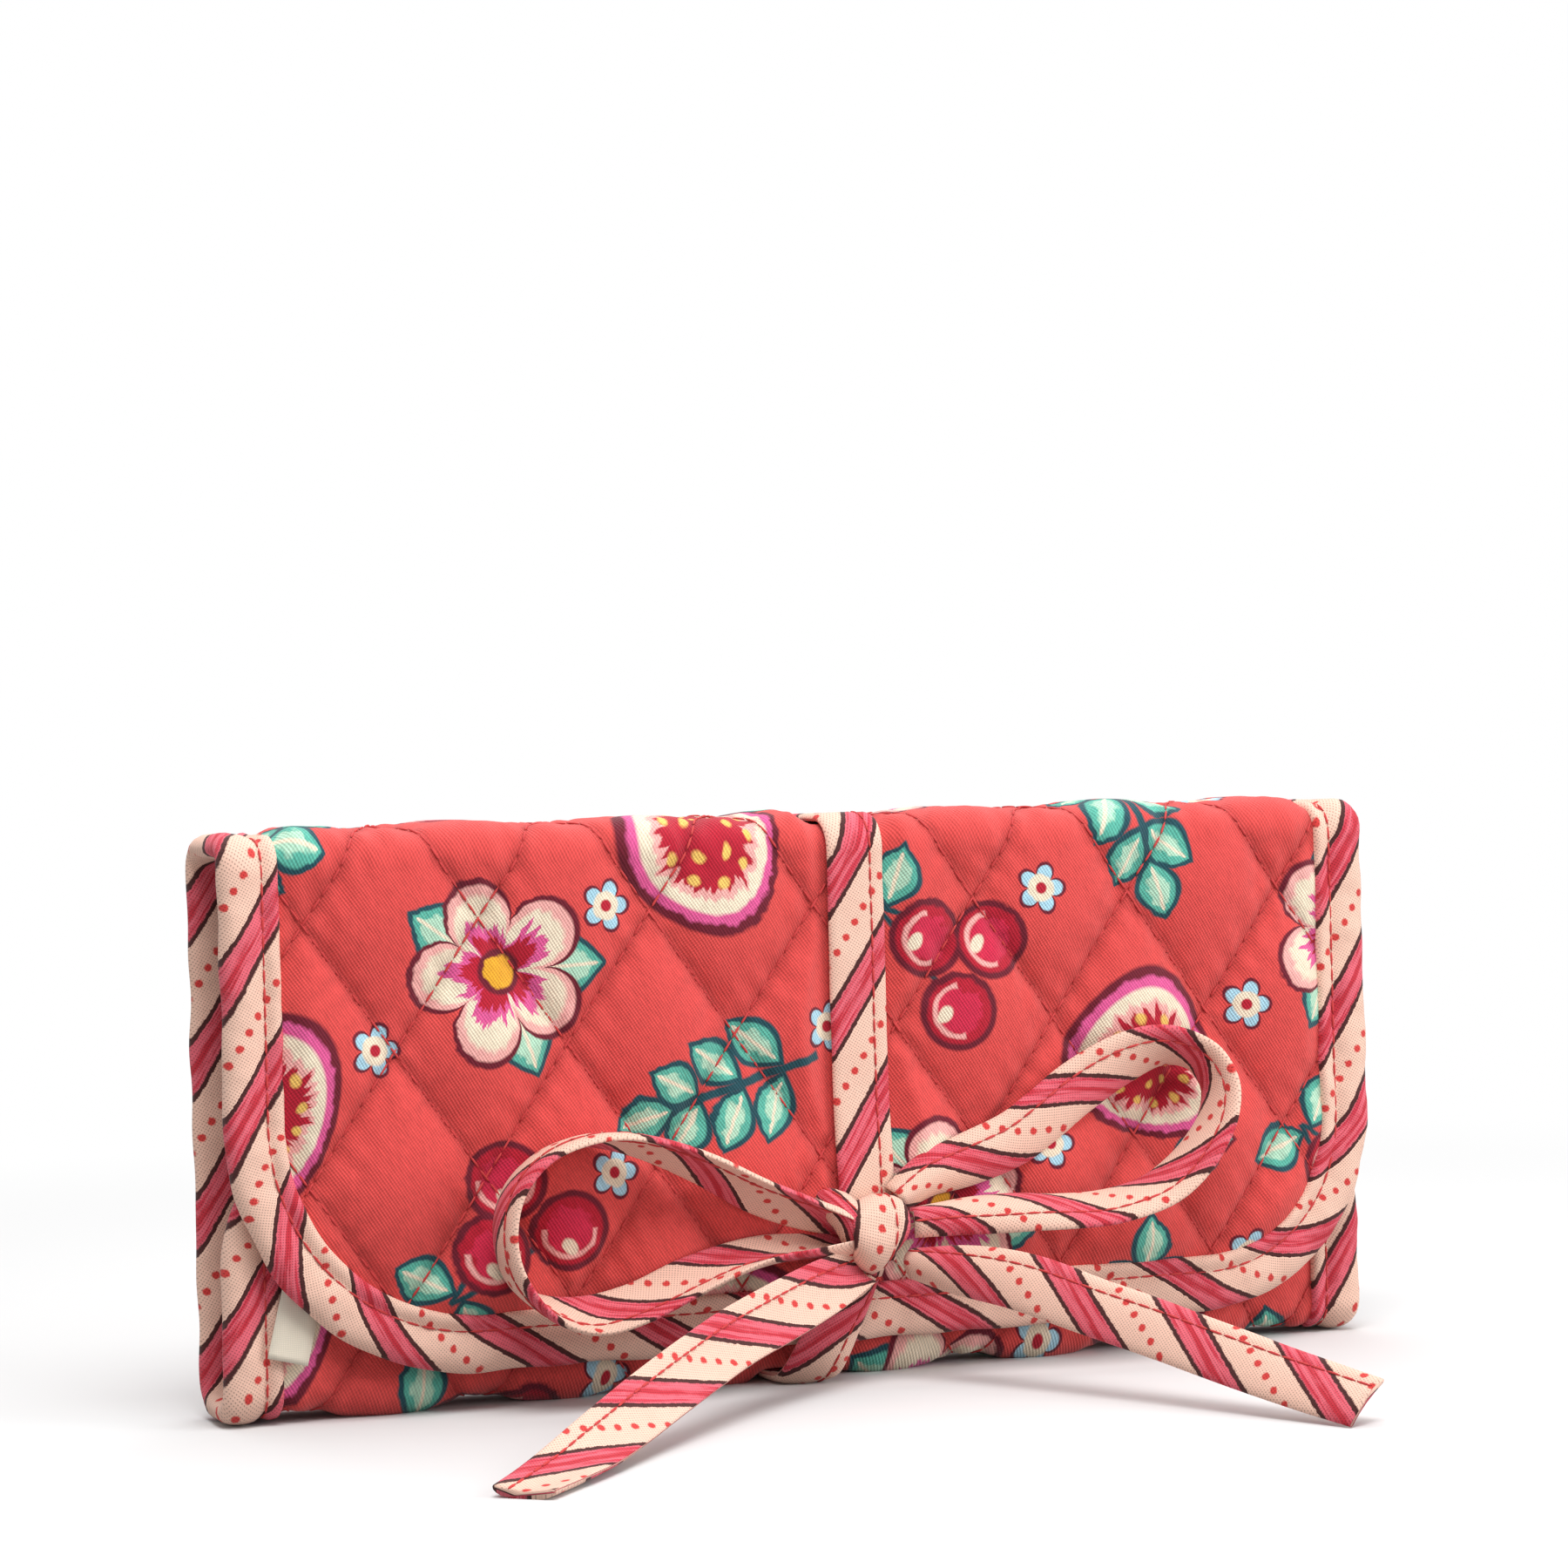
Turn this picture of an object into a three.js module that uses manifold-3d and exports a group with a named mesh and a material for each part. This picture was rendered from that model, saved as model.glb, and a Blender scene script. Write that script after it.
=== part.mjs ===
import * as THREE from "three";
import { mergeVertices } from "three/addons/utils/BufferGeometryUtils.js";
import Module from "manifold-3d";

const wasm = await Module();
wasm.setup();

// Size of the closed roll in millimetres, x along it, y away from the viewer, z up
const WIDTH = 210;
const HEIGHT = 96;
const DEPTH = 24;
const FOLD_RADIUS = 6;
const FLAP_HEM_Z = 6;
const FLAP_CORNER = 36;
const INNER_BEHIND_FLAP = 4.6;
const INNER_BELOW_POCKET = 6.5;
const INNER_CORNER = 20;

// Layers of the padded cloth, measured outwards from the middle of its thickness
const CROWN = 2.4;
const INNER_CROWN = 1.6;
const SEAM = 0.8;
const SHELL_BACK = -0.6;
const LINING_FRONT = -0.7;
const LINING_BACK = -1.15;
const EDGE_INSET = 1.3;
const MITRE_GAP_DEG = 2;

// Diamond quilting, half pitches along and across the cloth
const QUILT_HALF_X = 14.9;
const QUILT_HALF_S = 21.2;
const QUILT_X = -2;
const QUILT_Z = 80.8;

// Bias binding folded over every raw edge, as a section of edge distance and layer height
const BINDING_WIDTH = 9;
const BINDING_SECTION = [
  [-9, 1.1], [-8.6, 1.6], [-5, 1.9], [-0.9, 1.6], [-0.2, 0.9], [0, 0],
  [-0.2, -1.1], [-0.9, -1.75], [-5, -1.9], [-9, -1.75], [-9, -1.3], [-1.1, -1.3], [-1.1, 1], [-9, 1],
];

// Tie of folded bias tape around the middle of the roll
const TIE_WIDTH = 10;
const TIE_THICK = 1.35;
const TIE_BED = 1;
const TIE_OVER_HEM = 2.1;
const TIE_FRONT_X = 5.5;
const TIE_BOTTOM_X = -6;
const TIE_CLEAR = 0.3;
const KNOT = [6.2, -16.6, 25];

// Zipped pockets inside, the same on the flap and on the back panel
const POCKET_HEIGHT = 35;
const POCKET_STRIP = 5;
const POCKET_FROM_END = 10;
const POCKET_FROM_FOLD = 2.5;
const POCKET_SEAT = 0.15;
const ZIP_BELOW_TOP = 9.5;
const ZIP_FROM_END = 9.5;
const TOOTH_PITCH = 3;
const SLIDER_FROM_END = 5.5;
const STOP_LENGTH = 2.6;
const STOP_CLEAR = 0.5;
const PULL_LENGTH = 8;

// Sewn-in satin label
const LABEL_WIDTH = 6.8;
const LABEL_LENGTH = 22;
const LABEL_THICK = 0.25;
const LABEL_FROM_END = 9.35;
const LABEL_ABOVE_HEM = 4.8;

// Padded ring bar held by a snap
const BAR_RADIUS = 5;
const BAR_ABOVE_POCKET = 15;
const BAR_CLEAR = 0.25;
const BAR_LEFT = -48;
const BAR_RIGHT = 46;
const BAR_END_HALF = 4;
const BAR_END_LENGTH = 14;
const SNAP_FROM_BAR = 10;
const SNAP_RADIUS = 3.6;

const FLAP_PANEL_Y = -DEPTH / 2 + CROWN;
const BACK_PANEL_Y = DEPTH / 2 - CROWN;
const INNER_PANEL_Y = FLAP_PANEL_Y + INNER_BEHIND_FLAP;
const TOP_Z = HEIGHT - CROWN;
const MID_RADIUS = FOLD_RADIUS - CROWN;
const HALF = WIDTH / 2;
const QUARTER = (MID_RADIUS * Math.PI) / 2;
const FRONT_FOLD_Y = -DEPTH / 2 + FOLD_RADIUS;
const BACK_FOLD_Y = DEPTH / 2 - FOLD_RADIUS;
const UPPER_FOLD_Z = HEIGHT - FOLD_RADIUS;
const INNER_FOLD_Y = INNER_PANEL_Y + MID_RADIUS;
const BACK_FACE = BACK_PANEL_Y + LINING_BACK;
const POCKET_HALF = HALF - POCKET_FROM_END;
const ZIP_HALF = POCKET_HALF - ZIP_FROM_END;
const SLIDER_REST_X = SLIDER_FROM_END - ZIP_HALF;
const FLAP_POCKET_Z = UPPER_FOLD_Z - POCKET_FROM_FOLD - POCKET_HEIGHT;
const INNER_TOP_Z = FLAP_POCKET_Z - INNER_BELOW_POCKET;
const BACK_POCKET_Z = FOLD_RADIUS + POCKET_FROM_FOLD;
const BAR_Z = BACK_POCKET_Z + POCKET_HEIGHT + BAR_ABOVE_POCKET;
const BAR_Y = BACK_FACE - BAR_CLEAR - BAR_RADIUS;

// The cloth runs as one strip: up the flap, over the top, down the back, under, up the inner panel
const STRIP = [
  { line: UPPER_FOLD_Z - FLAP_HEM_Z, from: [FLAP_PANEL_Y, FLAP_HEM_Z], turn: 180 },
  { arc: [FRONT_FOLD_Y, UPPER_FOLD_Z], turn: 180 },
  { line: BACK_FOLD_Y - FRONT_FOLD_Y, from: [FRONT_FOLD_Y, TOP_Z], turn: 90 },
  { arc: [BACK_FOLD_Y, UPPER_FOLD_Z], turn: 90 },
  { line: UPPER_FOLD_Z - FOLD_RADIUS, from: [BACK_PANEL_Y, UPPER_FOLD_Z], turn: 0 },
  { arc: [BACK_FOLD_Y, FOLD_RADIUS], turn: 0 },
  { line: BACK_FOLD_Y - INNER_FOLD_Y, from: [BACK_FOLD_Y, CROWN], turn: -90 },
  { arc: [INNER_FOLD_Y, FOLD_RADIUS], turn: -90 },
  { line: INNER_TOP_Z - FOLD_RADIUS, from: [INNER_PANEL_Y, FOLD_RADIUS], turn: -180 },
];

const STARTS = [0];
for (const piece of STRIP) {
  STARTS.push(STARTS[STARTS.length - 1] + (piece.line ?? QUARTER));
}

// Place and outward direction of the cloth at a distance along the strip
function clothAt(s) {
  let i = 0;
  while (i < STRIP.length - 1 && s > STARTS[i + 1]) i += 1;
  const piece = STRIP[i];
  const run = s - STARTS[i];
  if (piece.arc) {
    const angle = THREE.MathUtils.degToRad(piece.turn - (90 * run) / QUARTER);
    const out = [Math.cos(angle), Math.sin(angle)];
    return { y: piece.arc[0] + MID_RADIUS * out[0], z: piece.arc[1] + MID_RADIUS * out[1], out };
  }
  const angle = THREE.MathUtils.degToRad(piece.turn);
  const out = [Math.cos(angle), Math.sin(angle)];
  return { y: piece.from[0] + run * out[1], z: piece.from[1] - run * out[0], out };
}

// Each panel ends halfway round a fold, a little short of its neighbour
const GAP = (QUARTER * MITRE_GAP_DEG) / 90;
const cut = (i) => STARTS[i] + QUARTER / 2;
const PANELS = {
  flap: [0, cut(1) - GAP],
  top: [cut(1) + GAP, cut(3) - GAP],
  back: [cut(3) + GAP, cut(5) - GAP],
  bottom: [cut(5) + GAP, cut(7) - GAP],
  inner: [cut(7) + GAP, STARTS[9]],
};

// Rows of a mesh along the strip, close together round the folds
function rowsBetween(s0, s1) {
  const rows = [s0, s1];
  for (let k = -20; k < 40; k += 1) {
    rows.push(QUILT_Z - FLAP_HEM_Z + (k * QUILT_HALF_S) / 2);
  }
  for (const i of [1, 3, 5, 7]) {
    for (let k = 0; k <= 6; k += 1) rows.push(STARTS[i] + (QUARTER * k) / 6);
  }
  return spaced(rows.filter((s) => s >= s0 && s <= s1), 0.35);
}

function columnsBetween(x0, x1) {
  const columns = [x0, x1];
  for (let k = -20; k <= 20; k += 1) columns.push(QUILT_X + (k * QUILT_HALF_X) / 2);
  return spaced(columns.filter((x) => x >= x0 && x <= x1), 0.35);
}

function spaced(values, least) {
  const sorted = [...values].sort((a, b) => a - b);
  const kept = [sorted[0]];
  for (const value of sorted) {
    if (value - kept[kept.length - 1] > least) kept.push(value);
  }
  kept[kept.length - 1] = sorted[sorted.length - 1];
  return kept;
}

// Height of a quilted surface: low along the sewn lines, puffed between them
function quiltHeight(crown) {
  return (x, s) => {
    const across = (x - QUILT_X) / (2 * QUILT_HALF_X);
    const along = (s - (QUILT_Z - FLAP_HEM_Z)) / (2 * QUILT_HALF_S);
    const puff = Math.sin(Math.PI * (across + along)) * Math.sin(Math.PI * (across - along));
    return SEAM + (crown - SEAM) * Math.sqrt(Math.abs(puff));
  };
}

function geometryFrom(positions, triangles) {
  const geometry = new THREE.BufferGeometry();
  geometry.setAttribute("position", new THREE.Float32BufferAttribute(positions, 3));
  geometry.setIndex(triangles);
  return facingOut(geometry);
}

function facingOut(geometry) {
  const p = geometry.attributes.position;
  const index = geometry.index.array;
  let volume = 0;
  const a = new THREE.Vector3();
  const b = new THREE.Vector3();
  const c = new THREE.Vector3();
  for (let i = 0; i < index.length; i += 3) {
    a.fromBufferAttribute(p, index[i]);
    b.fromBufferAttribute(p, index[i + 1]);
    c.fromBufferAttribute(p, index[i + 2]);
    volume += a.dot(b.cross(c));
  }
  if (volume < 0) {
    for (let i = 0; i < index.length; i += 3) [index[i], index[i + 1]] = [index[i + 1], index[i]];
  }
  return geometry;
}

function solid(geometry) {
  let clean = geometry.clone();
  for (const name of Object.keys(clean.attributes)) {
    if (name !== "position") clean.deleteAttribute(name);
  }
  clean = mergeVertices(clean, 1e-4);
  const mesh = new wasm.Mesh({
    numProp: 3,
    vertProperties: new Float32Array(clean.attributes.position.array),
    triVerts: new Uint32Array(clean.index.array),
  });
  return new wasm.Manifold(mesh);
}

function geometryOf(manifold) {
  const mesh = manifold.getMesh();
  const geometry = new THREE.BufferGeometry();
  geometry.setAttribute("position", new THREE.Float32BufferAttribute(mesh.vertProperties, 3));
  geometry.setIndex(Array.from(mesh.triVerts));
  return geometry;
}

// A layer of cloth between two heights over part of the strip
function layer(x0, x1, s0, s1, low, high) {
  const quilted = typeof high === "function";
  const columns = quilted ? columnsBetween(x0, x1) : [x0, x1];
  const rows = quilted ? rowsBetween(s0, s1) : rowsAlong([s0, s1]);
  const top = quilted ? high : () => high;
  const positions = [];
  const place = (x, s, w) => {
    const c = clothAt(s);
    positions.push(x, c.y + c.out[0] * w, c.z + c.out[1] * w);
  };
  for (const height of [top, () => low]) {
    for (const s of rows) {
      for (const x of columns) place(x, s, height(x, s));
    }
  }
  const nx = columns.length;
  const ns = rows.length;
  const at = (i, j) => j * nx + i;
  const under = nx * ns;
  const triangles = [];
  for (let j = 0; j < ns - 1; j += 1) {
    for (let i = 0; i < nx - 1; i += 1) {
      const quad = [at(i, j), at(i + 1, j), at(i + 1, j + 1), at(i, j + 1)];
      const corners = [[i, j], [i + 1, j], [i + 1, j + 1], [i, j + 1]];
      const level = corners.map(([k, l]) => top(columns[k], rows[l]));
      const centre = top((columns[i] + columns[i + 1]) / 2, (rows[j] + rows[j + 1]) / 2);
      const straight = Math.abs((level[0] + level[2]) / 2 - centre);
      const other = Math.abs((level[1] + level[3]) / 2 - centre);
      const order = straight <= other ? [0, 1, 2, 0, 2, 3] : [0, 1, 3, 1, 2, 3];
      triangles.push(...order.map((k) => quad[k]));
      triangles.push(...[0, 2, 1, 0, 3, 2].map((k) => quad[k] + under));
    }
  }
  const rim = [];
  for (let i = 0; i < nx - 1; i += 1) rim.push(at(i, 0));
  for (let j = 0; j < ns - 1; j += 1) rim.push(at(nx - 1, j));
  for (let i = nx - 1; i > 0; i -= 1) rim.push(at(i, ns - 1));
  for (let j = ns - 1; j > 0; j -= 1) rim.push(at(0, j));
  rim.forEach((a, k) => {
    const b = rim[(k + 1) % rim.length];
    triangles.push(b, a, a + under, b, a + under, b + under);
  });
  return geometryFrom(positions, triangles);
}

// A closed section carried along a list of frames: place, edge direction and outward direction
function sweep(frames, sectionOf) {
  const positions = [];
  const triangles = [];
  const count = sectionOf(0).length;
  frames.forEach((frame, k) => {
    for (const [a, b] of sectionOf(k)) {
      const point = frame.at.clone().addScaledVector(frame.side, a).addScaledVector(frame.out, b);
      positions.push(point.x, point.y, point.z);
    }
  });
  for (let k = 0; k < frames.length - 1; k += 1) {
    for (let i = 0; i < count; i += 1) {
      const a = k * count + i;
      const b = k * count + ((i + 1) % count);
      triangles.push(a, b, a + count, b, b + count, a + count);
    }
  }
  const cap = THREE.ShapeUtils.triangulateShape(sectionOf(0).map(([a, b]) => new THREE.Vector2(a, b)), []);
  const last = (frames.length - 1) * count;
  const flip = THREE.ShapeUtils.isClockWise(sectionOf(0).map(([a, b]) => new THREE.Vector2(a, b)));
  for (const [a, b, c] of cap) {
    triangles.push(...(flip ? [a, b, c] : [a, c, b]));
    triangles.push(...(flip ? [last + a, last + c, last + b] : [last + a, last + b, last + c]));
  }
  return geometryFrom(positions, triangles);
}

const vector = (x, y, z) => new THREE.Vector3(x, y, z);

function clothFrame(x, s, side) {
  const c = clothAt(s);
  return { at: vector(x, c.y, c.z), side: vector(side, 0, 0), out: vector(0, c.out[0], c.out[1]) };
}

function straightBinding(panel, side) {
  const frames = rowsAlong(PANELS[panel]).map((s) => clothFrame(side * HALF, s, side));
  return sweep(frames, () => BINDING_SECTION);
}

// Only the ends and the fold rows, for pieces that are straight in between
function rowsAlong([s0, s1]) {
  const rows = [s0, s1];
  for (const i of [1, 3, 5, 7]) {
    for (let k = 0; k <= 6; k += 1) rows.push(STARTS[i] + (QUARTER * k) / 6);
  }
  return spaced(rows.filter((s) => s >= s0 && s <= s1), 0.35);
}

// Binding that goes down one side, round both corners and up the other side
function loopedBinding(panel, hemZ, corner, direction) {
  const rows = rowsAlong(PANELS[panel]);
  const hemAt = direction < 0 ? PANELS[panel][0] : PANELS[panel][1];
  const side = rows.filter((s) => Math.abs(s - hemAt) >= corner - 0.01);
  side.push(hemAt - direction * corner);
  side.sort((a, b) => (b - a) * -direction);
  const y = clothAt(hemAt).y;
  const out = vector(0, -1, 0);
  const left = side.map((s) => clothFrame(-HALF, s, -1));
  const right = side.map((s) => clothFrame(HALF, s, 1)).reverse();
  const steps = 8;
  const bend = (cx, from, to) => {
    const list = [];
    for (let k = 1; k <= steps; k += 1) {
      const angle = THREE.MathUtils.degToRad(from + ((to - from) * k) / steps);
      const way = vector(Math.cos(angle), 0, direction * Math.sin(angle));
      const centre = vector(cx, y, hemZ - direction * corner);
      list.push({ at: centre.addScaledVector(way, corner), side: way, out });
    }
    return list;
  };
  const first = bend(-HALF + corner, 180, 90);
  const second = bend(HALF - corner, 90, 0);
  const hemStart = { at: vector(HALF - corner, y, hemZ), side: vector(0, 0, direction), out };
  const frames = [...left, ...first, hemStart, ...second.slice(0, -1), ...right];
  return sweep(frames, () => BINDING_SECTION);
}

// Panel outline with two rounded corners, as a block right through the cloth
function outlineBlock(inset, hemZ, farZ, corner, direction) {
  const half = HALF - inset;
  const hem = hemZ - direction * inset;
  const r = Math.max(corner - inset, 1);
  const shape = new THREE.Shape();
  const base = hem - direction * r;
  shape.moveTo(-half, farZ);
  shape.lineTo(-half, base);
  const steps = 8;
  for (let k = 1; k <= steps; k += 1) {
    const angle = (Math.PI / 2) * (k / steps);
    shape.lineTo(-half + r - r * Math.cos(angle), base + direction * r * Math.sin(angle));
  }
  for (let k = 0; k <= steps; k += 1) {
    const angle = (Math.PI / 2) * (k / steps);
    shape.lineTo(half - r + r * Math.sin(angle), base + direction * r * Math.cos(angle));
  }
  shape.lineTo(half, farZ);
  const depth = 2.5 * DEPTH;
  const block = new THREE.ExtrudeGeometry(shape, { depth, bevelEnabled: false, curveSegments: 8 });
  block.rotateX(Math.PI / 2);
  block.translate(0, depth / 2, 0);
  return solid(block);
}

// Tie lying along the strip, or the pressed channel that it lies in when there is extra room
function tieRun(s0, s1, x0, x1, bed, extra) {
  const longer = extra > 0 ? 0.5 : 0;
  const frames = rowsAlong([s0 - longer, s1 + longer]).map((s) => {
    return clothFrame(x0 + ((x1 - x0) * (s - s0)) / (s1 - s0), s, 1);
  });
  const half = TIE_WIDTH / 2 + extra;
  const low = extra > 0 ? bed - 0.2 : bed;
  const high = extra > 0 ? bed + 8 : bed + TIE_THICK;
  const section = [[-half, low], [half, low], [half, high], [-half, high]];
  return sweep(frames, () => section);
}

const shellSolids = {};

function makeShell(panel, crown, outline) {
  const [s0, s1] = PANELS[panel];
  const inset = BINDING_WIDTH + TIE_CLEAR;
  const edge = HALF - EDGE_INSET;
  let base = solid(layer(-edge, edge, s0, s1, SHELL_BACK, SEAM));
  const top = panel === "bottom" ? CROWN : quiltHeight(crown);
  let puffs = solid(layer(-HALF + inset, HALF - inset, s0, s1, 0, top));
  if (outline) {
    base = base.intersect(outlineBlock(EDGE_INSET, ...outline));
    puffs = puffs.intersect(outlineBlock(inset, ...outline));
  }
  shellSolids[panel] = base.add(puffs);
}

function makeLining(panel, outline) {
  const [s0, s1] = PANELS[panel];
  const edge = HALF - EDGE_INSET;
  let sheet = solid(layer(-edge, edge, s0, s1, LINING_BACK, LINING_FRONT));
  if (outline) sheet = sheet.intersect(outlineBlock(EDGE_INSET, ...outline));
  return geometryOf(sheet);
}

const FLAP_OUTLINE = [FLAP_HEM_Z, HEIGHT + 5, FLAP_CORNER, -1];
const INNER_OUTLINE = [INNER_TOP_Z, -5, INNER_CORNER, 1];
makeShell("flap", CROWN, FLAP_OUTLINE);
makeShell("top", CROWN);
makeShell("back", CROWN);
makeShell("bottom", CROWN);
makeShell("inner", INNER_CROWN, INNER_OUTLINE);

// Runs of the tie over each panel, as distances along the strip and sideways places
const TIE_RUNS = {
  flap: [KNOT[2] - TIE_WIDTH / 2 - FLAP_HEM_Z, PANELS.flap[1], TIE_FRONT_X, TIE_FRONT_X],
  top: [...PANELS.top, TIE_FRONT_X, TIE_FRONT_X],
  back: [...PANELS.back, TIE_FRONT_X, TIE_BOTTOM_X],
  bottom: [...PANELS.bottom, TIE_BOTTOM_X, TIE_BOTTOM_X],
  inner: [PANELS.inner[0], PANELS.inner[0] + 4.6, TIE_BOTTOM_X, TIE_BOTTOM_X],
};
for (const [panel, run] of Object.entries(TIE_RUNS)) {
  shellSolids[panel] = shellSolids[panel].subtract(solid(tieRun(...run, TIE_BED, TIE_CLEAR)));
}
const LOWER_RUN = [-0.6, KNOT[2] - 6.4 - FLAP_HEM_Z, TIE_BOTTOM_X, 1.5];
shellSolids.flap = shellSolids.flap.subtract(solid(tieRun(...LOWER_RUN, TIE_OVER_HEM, TIE_CLEAR)));

// Free lengths of tape: rows of place, direction across the tape, and width
function tape(rows, segments) {
  const places = rows.map((row) => vector(row[0], row[1], row[2]));
  const sides = rows.map((row) => vector(row[3], row[4], row[5]));
  const line = new THREE.CatmullRomCurve3(places, false, "centripetal");
  const across = new THREE.CatmullRomCurve3(sides, false, "catmullrom", 0.5);
  const frames = [];
  const widths = [];
  for (let k = 0; k <= segments; k += 1) {
    const t = k / segments;
    const along = line.getTangent(t);
    const side = across.getPoint(t);
    side.addScaledVector(along, -side.dot(along)).normalize();
    const out = vector(0, 0, 0).crossVectors(along, side).normalize();
    frames.push({ at: line.getPoint(t), side, out });
    const f = t * (rows.length - 1);
    const i = Math.min(Math.floor(f), rows.length - 2);
    widths.push(rows[i][6] + (rows[i + 1][6] - rows[i][6]) * (f - i));
  }
  const thick = TIE_THICK / 2;
  return sweep(frames, (k) => {
    const half = widths[k] / 2;
    return [
      [-half, -thick * 0.4], [-half + 0.6, -thick], [half - 0.6, -thick], [half, -thick * 0.4],
      [half, thick * 0.4], [half - 0.6, thick], [-half + 0.6, thick], [-half, thick * 0.4],
    ];
  });
}

const LEFT_LOOP = [
  [1.2, -16.6, 27.6, 0.1, -0.9, 0.4, 6.5],
  [-6, -17.5, 29.6, 0.2, -0.85, 0.5, 8.5],
  [-15.7, -18.2, 33.2, 0.25, -0.85, 0.5, 9.6],
  [-26, -18.6, 38.6, 0.2, -0.9, 0.4, 10],
  [-37, -18.8, 43, 0.1, -0.95, 0.3, 10],
  [-46.5, -18.8, 44.2, 0, -1, 0.15, 10],
  [-54.5, -18.8, 42, 0, -1, 0.1, 10],
  [-60, -18.8, 36.5, 0, -1, 0, 10],
  [-61.6, -18.8, 29.3, 0, -1, 0, 10],
  [-59.6, -18.8, 22, 0, -1, 0, 10],
  [-54.5, -18.8, 17.2, 0, -1, -0.15, 10],
  [-47, -18.8, 15.2, 0, -0.95, -0.25, 10],
  [-38.5, -18.6, 16.6, 0.1, -0.95, -0.3, 10],
  [-28, -18.2, 20.4, 0.1, -0.95, -0.2, 9.6],
  [-16, -17.6, 23.4, 0.05, -1, -0.1, 9],
  [-6, -17, 23.6, 0, -1, -0.1, 8],
  [1.2, -16.6, 23.6, 0, -1, -0.1, 6.5],
];

const RIGHT_LOOP = [
  [11.2, -15.2, 30.2, -0.45, 0.15, 0.88, 5.5],
  [16, -14.4, 33, -0.5, 0.05, 0.87, 7.5],
  [24, -13.8, 37, -0.5, 0, 0.87, 9.5],
  [33, -13.8, 41.4, -0.5, 0, 0.87, 10],
  [42, -14, 46.6, -0.5, -0.1, 0.86, 10],
  [50.5, -14.8, 50.4, -0.35, -0.3, 0.88, 10],
  [57.5, -16.6, 51.4, 0.05, -0.55, 0.83, 10],
  [63, -18.8, 49.2, 0.5, -0.6, 0.6, 10],
  [65.4, -20.8, 44.2, 0.8, -0.55, 0.2, 10],
  [64.4, -22, 38.6, 0.82, -0.5, -0.25, 10],
  [60.4, -22.6, 33.8, 0.62, -0.5, -0.6, 10],
  [53.6, -22.6, 30.2, 0.35, -0.55, -0.75, 10],
  [44, -22, 28.2, 0.15, -0.6, -0.78, 10],
  [33, -21, 27.4, 0.05, -0.65, -0.76, 9.4],
  [22, -19.8, 27, 0, -0.7, -0.7, 8],
  [11.4, -18.2, 26.2, 0, -0.75, -0.65, 5.5],
];

const LEFT_TAIL = [
  [2.2, -17.4, 19.8, -0.25, 0.3, 0.9, 6.5],
  [-5.4, -21, 17.8, -0.4, 0.3, 0.85, 9],
  [-17.3, -29, 15.2, -0.45, 0.3, 0.83, 10],
  [-30.3, -39, 12.7, -0.47, 0.32, 0.82, 10],
  [-40.3, -48, 10.4, -0.5, 0.34, 0.78, 10],
  [-50.2, -57, 7.9, -0.56, 0.38, 0.7, 10],
  [-59.5, -66, 5.5, -0.64, 0.42, 0.58, 10],
  [-68.7, -75, 3.2, -0.74, 0.45, 0.36, 10],
  [-77, -83, 1.6, -0.84, 0.44, 0.12, 10],
  [-84, -90, 0.85, -0.9, 0.42, 0, 10],
];

const RIGHT_TAIL = [
  [10.8, -18.2, 20.4, 0.4, 0.1, 0.9, 5.5],
  [15.4, -27, 19.8, 0.45, 0.05, 0.88, 8.6],
  [21.6, -38, 18.4, 0.5, 0.05, 0.86, 10],
  [28.2, -50, 15.2, 0.55, 0.06, 0.82, 10],
  [34.4, -62, 12.2, 0.6, 0.08, 0.78, 10],
  [40, -74, 9.2, 0.64, 0.1, 0.75, 10],
  [45.4, -86, 6.4, 0.68, 0.12, 0.7, 10],
  [51, -98.5, 3.9, 0.72, 0.15, 0.62, 10],
];

function ellipsoid(rx, ry, rz, tilt) {
  const ball = new THREE.SphereGeometry(1, 18, 12);
  ball.scale(rx, ry, rz);
  ball.rotateY(THREE.MathUtils.degToRad(tilt));
  ball.translate(...KNOT);
  return solid(ball);
}

function makeKnot() {
  const wrap = ellipsoid(3.9, 4.35, 6.6, -8);
  const under = ellipsoid(5.6, 3.7, 4.3, -35);
  return wrap.add(under);
}

function without(geometry, ...others) {
  let shape = solid(geometry);
  for (const other of others) shape = shape.subtract(other);
  return geometryOf(shape);
}

// Block between two corners
function block(x0, x1, y0, y1, z0, z1) {
  const box = new THREE.BoxGeometry(x1 - x0, Math.abs(y1 - y0), z1 - z0);
  box.translate((x0 + x1) / 2, (y0 + y1) / 2, (z0 + z1) / 2);
  return box;
}

// Flat piece cut to an outline in x and z, lying between two heights off a lining
function plate(points, y0, y1) {
  const shape = new THREE.Shape(points.map(([x, z]) => new THREE.Vector2(x, z)));
  const geometry = new THREE.ExtrudeGeometry(shape, { depth: Math.abs(y1 - y0), bevelEnabled: false });
  geometry.rotateX(Math.PI / 2);
  geometry.translate(0, Math.max(y0, y1), 0);
  return geometry;
}

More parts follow.
